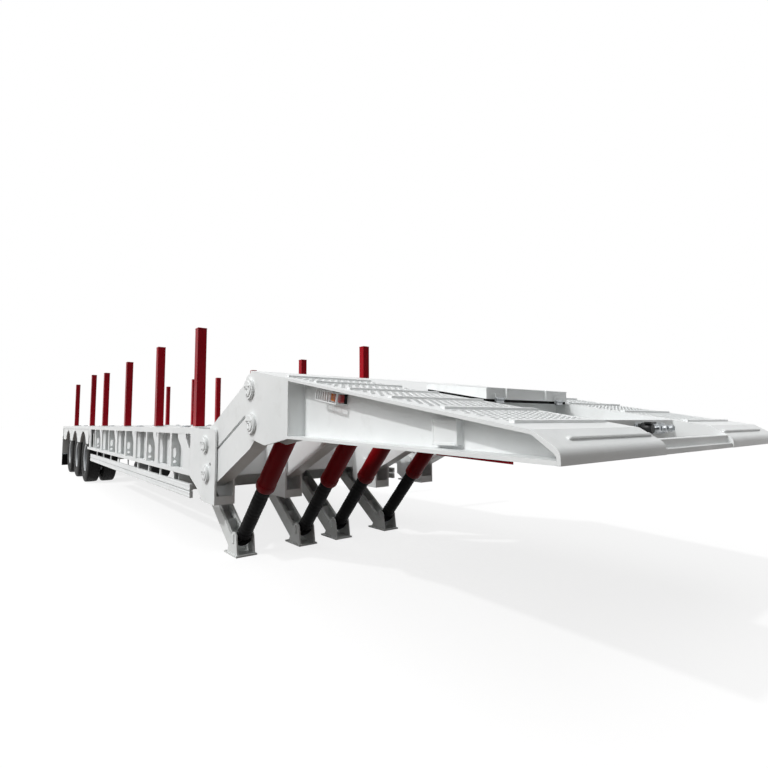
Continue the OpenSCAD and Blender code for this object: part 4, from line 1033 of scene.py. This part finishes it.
class TRAILER_OT_rear_fittings(bpy.types.Operator):
    """Rear lamps in three chambers with their frames, and the clamp bars and ribs of the mud flaps"""
    bl_idname = "trailer.rear_fittings"
    bl_label = "Rear fittings"

    def execute(self, context):
        low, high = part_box("rear_lamps")
        inner, outer = 0.790, 1.190
        rear, front, bolt_face = -10.863, -10.845, -10.846
        lenses = ((0.012, 0.125, "red"), (0.131, 0.262, "amber"), (0.268, 0.388, "red"))
        for side, sign in SIDES:
            corners = (low.x + 0.012, sign * inner, low.z), (high.x, sign * outer, high.z)
            tray = block(f"rear_lamp_tray_{side}", *corners, 0.004)
            edit_piece(tray)
            pick(tray, "faces", lambda face: face.normal.x < -0.9 and face.calc_area() > 0.01)
            bpy.ops.mesh.inset(thickness=0.008)
            bpy.ops.mesh.inset(thickness=0.001, depth=-0.006)
            end_edit()
            dress(tray, "deck", "black_paint")
            for index, (start, end, colour) in enumerate(lenses):
                glass = block(f"rear_lens_{index}_{side}", (low.x, sign * (outer - start), low.z + 0.012),
                              (low.x + 0.020, sign * (outer - end), high.z - 0.012), 0.005)
                dress(glass, "deck", f"{colour}_lens")
            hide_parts("rear_lamps")
            clamp = block("clamp", spot(rear + 0.001, sign * 0.650, 0.402), spot(bolt_face, sign * 1.240, 0.436))
            places = [facing(spot(bolt_face, sign * (0.70 + 0.1225 * i), 0.419), (1, 0, 0)) for i in range(5)]
            clamp = join_pieces(f"flap_clamp_{side}", [clamp, repeat("bolts", hex_bolt(0.016), places)])
            dress(clamp, "deck", "zinc")
            rib = block("rib", spot(rear, -0.006, 0.135), spot(front, 0.006, 0.385), 0.003)
            ribs = repeat(f"flap_ribs_{side}", rib, [shift(0, sign * (0.69 + 0.10 * i), 0) for i in range(6)])
            dress(ribs, "deck", "black_rubber")
        return {"FINISHED"}


class TRAILER_OT_side_bays(bpy.types.Operator):
    """Panels behind the side rails, with holed gussets and braced columns by turns on the outriggers"""
    bl_idname = "trailer.side_bays"
    bl_label = "Side bays"

    def execute(self, context):
        panels = [block("panel", spot(-6.215, y, 0.740), spot(0.480, y + 0.006, 1.160), 0.001) for y in (-1.156, 1.150)]
        dress(join_pieces("bay_panels", panels), "deck", "white_paint")
        gusset = block("gusset", (-0.008, 1.152, 0.768), (0.008, 1.232, 1.111))
        for y, z, radius, tall in ((1.209, 0.905, 0.020, 2.6), (1.207, 0.812, 0.017, 1.0)):
            hole = turned("hole", [(-0.05, radius), (0.05, radius)], 24)
            put(hole, shift(0, y, z) @ Matrix.Diagonal((1, 1, tall, 1)) @ turn("Y", math.pi / 2))
            carve(gusset, hole)
        # Three outriggers to each bay between stakes; gussets and columns take turns as far as the first arch
        stakes = (-0.040, -1.630, -3.540, -5.610, -7.210)
        stations = [a + (b - a) * (k + 0.5) / 3 for a, b in zip(stakes, stakes[1:]) for k in range(3)]
        stations = [x for x in stations if x > -6.16]
        places = [at(x, 0, 0) @ turn("Z", angle) for x in stations[::2] for angle in (math.pi, 0)]
        dress(repeat("bay_gussets", gusset, places), "deck", "white_paint")
        column = [(-0.110, 0.766), (0.034, 0.766), (0.034, 0.990), (0.0, 0.990), (-0.060, 1.080), (-0.060, 1.1125),
                  (-0.210, 1.1125), (-0.210, 1.085), (-0.110, 0.960)]
        columns = [plate("column", [(x + dx, z) for dx, z in column], sign * 1.2385, sign * 1.2515, 0.0012)
                   for x in stations[1::2] for sign in SIGNS]
        dress(join_pieces("bay_columns", columns), "deck", "white_paint")
        corner = [(0.115, 0.766), (0.340, 0.766), (0.340, 0.975), (0.290, 0.975), (0.200, 1.068), (0.200, 1.1125),
                  (-0.060, 1.1125), (-0.060, 1.068), (0.115, 0.930)]
        corners = [plate("corner", corner, sign * 1.238, sign * 1.248, 0.0012) for sign in SIGNS]
        dress(join_pieces("corner_plates", corners), "deck", "white_paint")
        return {"FINISHED"}


class TRAILER_OT_deck_fittings(bpy.types.Operator):
    """Lashing rings, deck plate seams and the ribs of the side guards"""
    bl_idname = "trailer.deck_fittings"
    bl_label = "Deck fittings"

    def execute(self, context):
        ring = start_piece("ring", bpy.ops.mesh.primitive_torus_add, major_radius=0.040, minor_radius=0.007,
                           major_segments=20, minor_segments=8)
        put(ring, shift(0.018, 0, 0.0085))
        edit_piece(ring, "VERT")
        pick(ring, "verts", lambda vertex: vertex.co.x < -0.002)
        bpy.ops.transform.resize(value=(0.55, 1, 1), center_override=(-0.002, 0, 0))
        end_edit(60)
        saddle = turned("saddle", [(-0.034, 0.010), (-0.032, 0.012), (0.032, 0.012), (0.034, 0.010)], 12)
        put(saddle, shift(-0.006, 0, 0.006) @ turn("X", math.pi / 2))
        pad = block("pad", (-0.055, -0.060, -0.001), (0.068, 0.060, 0.003), 0.001)
        places = [at(-0.85 - 1.18 * i, sign * 0.940, DECK_TOP) @ turn("Z", math.pi if sign > 0 else 0)
                  for i in range(9) for sign in SIGNS]
        dress(repeat("lashing_rings", join_pieces("ring", [ring, saddle, pad]), places), "deck", "zinc")
        half, sunk, proud = 0.005, DECK_TOP - 0.0005, DECK_TOP + 0.0015
        seams = [block("seam", spot(x - half, -0.985, sunk), spot(x + half, 0.985, proud), 0.0008)
                 for x in [-0.90 - 1.25 * i for i in range(8)]]
        seams.append(block("seam", spot(-10.85, -half, sunk), spot(0.55, half, proud), 0.0008))
        dress(join_pieces("deck_seams", seams), "deck", "white_paint")
        ribs = [block("rib", spot(-5.800, sign * 1.244, z), spot(0.350, sign * 1.2480, z + 0.006), 0.0012)
                for sign in SIGNS for z in (0.527, 0.559, 0.594, 0.626)]
        dress(join_pieces("guard_rail_ribs", ribs), "deck", "white_paint")
        return {"FINISHED"}


PIECES = [TRAILER_OT_stage, TRAILER_OT_finishes, TRAILER_OT_tyres, TRAILER_OT_wheels, TRAILER_OT_ramp_grip,
          TRAILER_OT_marker_lamps, TRAILER_OT_nose_fittings, TRAILER_OT_nose, TRAILER_OT_couplings,
          TRAILER_OT_cylinders, TRAILER_OT_legs, TRAILER_OT_pins, TRAILER_OT_stake_caps, TRAILER_OT_running_gear,
          TRAILER_OT_rear_fittings, TRAILER_OT_side_bays, TRAILER_OT_deck_fittings]
CLASSES = list(GROUPS.values()) + PIECES


class TRAILER_PT_panel(bpy.types.Panel):
    """Lists the pieces of the trailer"""
    bl_idname = "TRAILER_PT_panel"
    bl_label = "Trailer"
    bl_space_type = "VIEW_3D"
    bl_region_type = "UI"
    bl_category = "Trailer"

    def draw(self, context):
        for group in GROUPS:
            values = getattr(context.scene, group)
            for key in values.__annotations__:
                self.layout.prop(values, key)
        for operator in PIECES:
            self.layout.operator(operator.bl_idname)


def register():
    for kind in CLASSES + [TRAILER_PT_panel]:
        bpy.utils.register_class(kind)
    for name, group in GROUPS.items():
        setattr(bpy.types.Scene, name, PointerProperty(type=group))


def unregister():
    for name in GROUPS:
        delattr(bpy.types.Scene, name)
    for kind in reversed(CLASSES + [TRAILER_PT_panel]):
        bpy.utils.unregister_class(kind)


def main():
    register()
    bpy.ops.trailer.stage()
    bpy.ops.trailer.finishes()
    bpy.ops.trailer.tyres()
    bpy.ops.trailer.wheels()
    bpy.ops.trailer.ramp_grip()
    bpy.ops.trailer.marker_lamps()
    bpy.ops.trailer.nose_fittings()
    bpy.ops.trailer.nose()
    bpy.ops.trailer.couplings()
    bpy.ops.trailer.cylinders()
    bpy.ops.trailer.legs()
    bpy.ops.trailer.pins()
    bpy.ops.trailer.stake_caps()
    bpy.ops.trailer.running_gear()
    bpy.ops.trailer.rear_fittings()
    bpy.ops.trailer.side_bays()
    bpy.ops.trailer.deck_fittings()


if __name__ == "__main__":
    main()
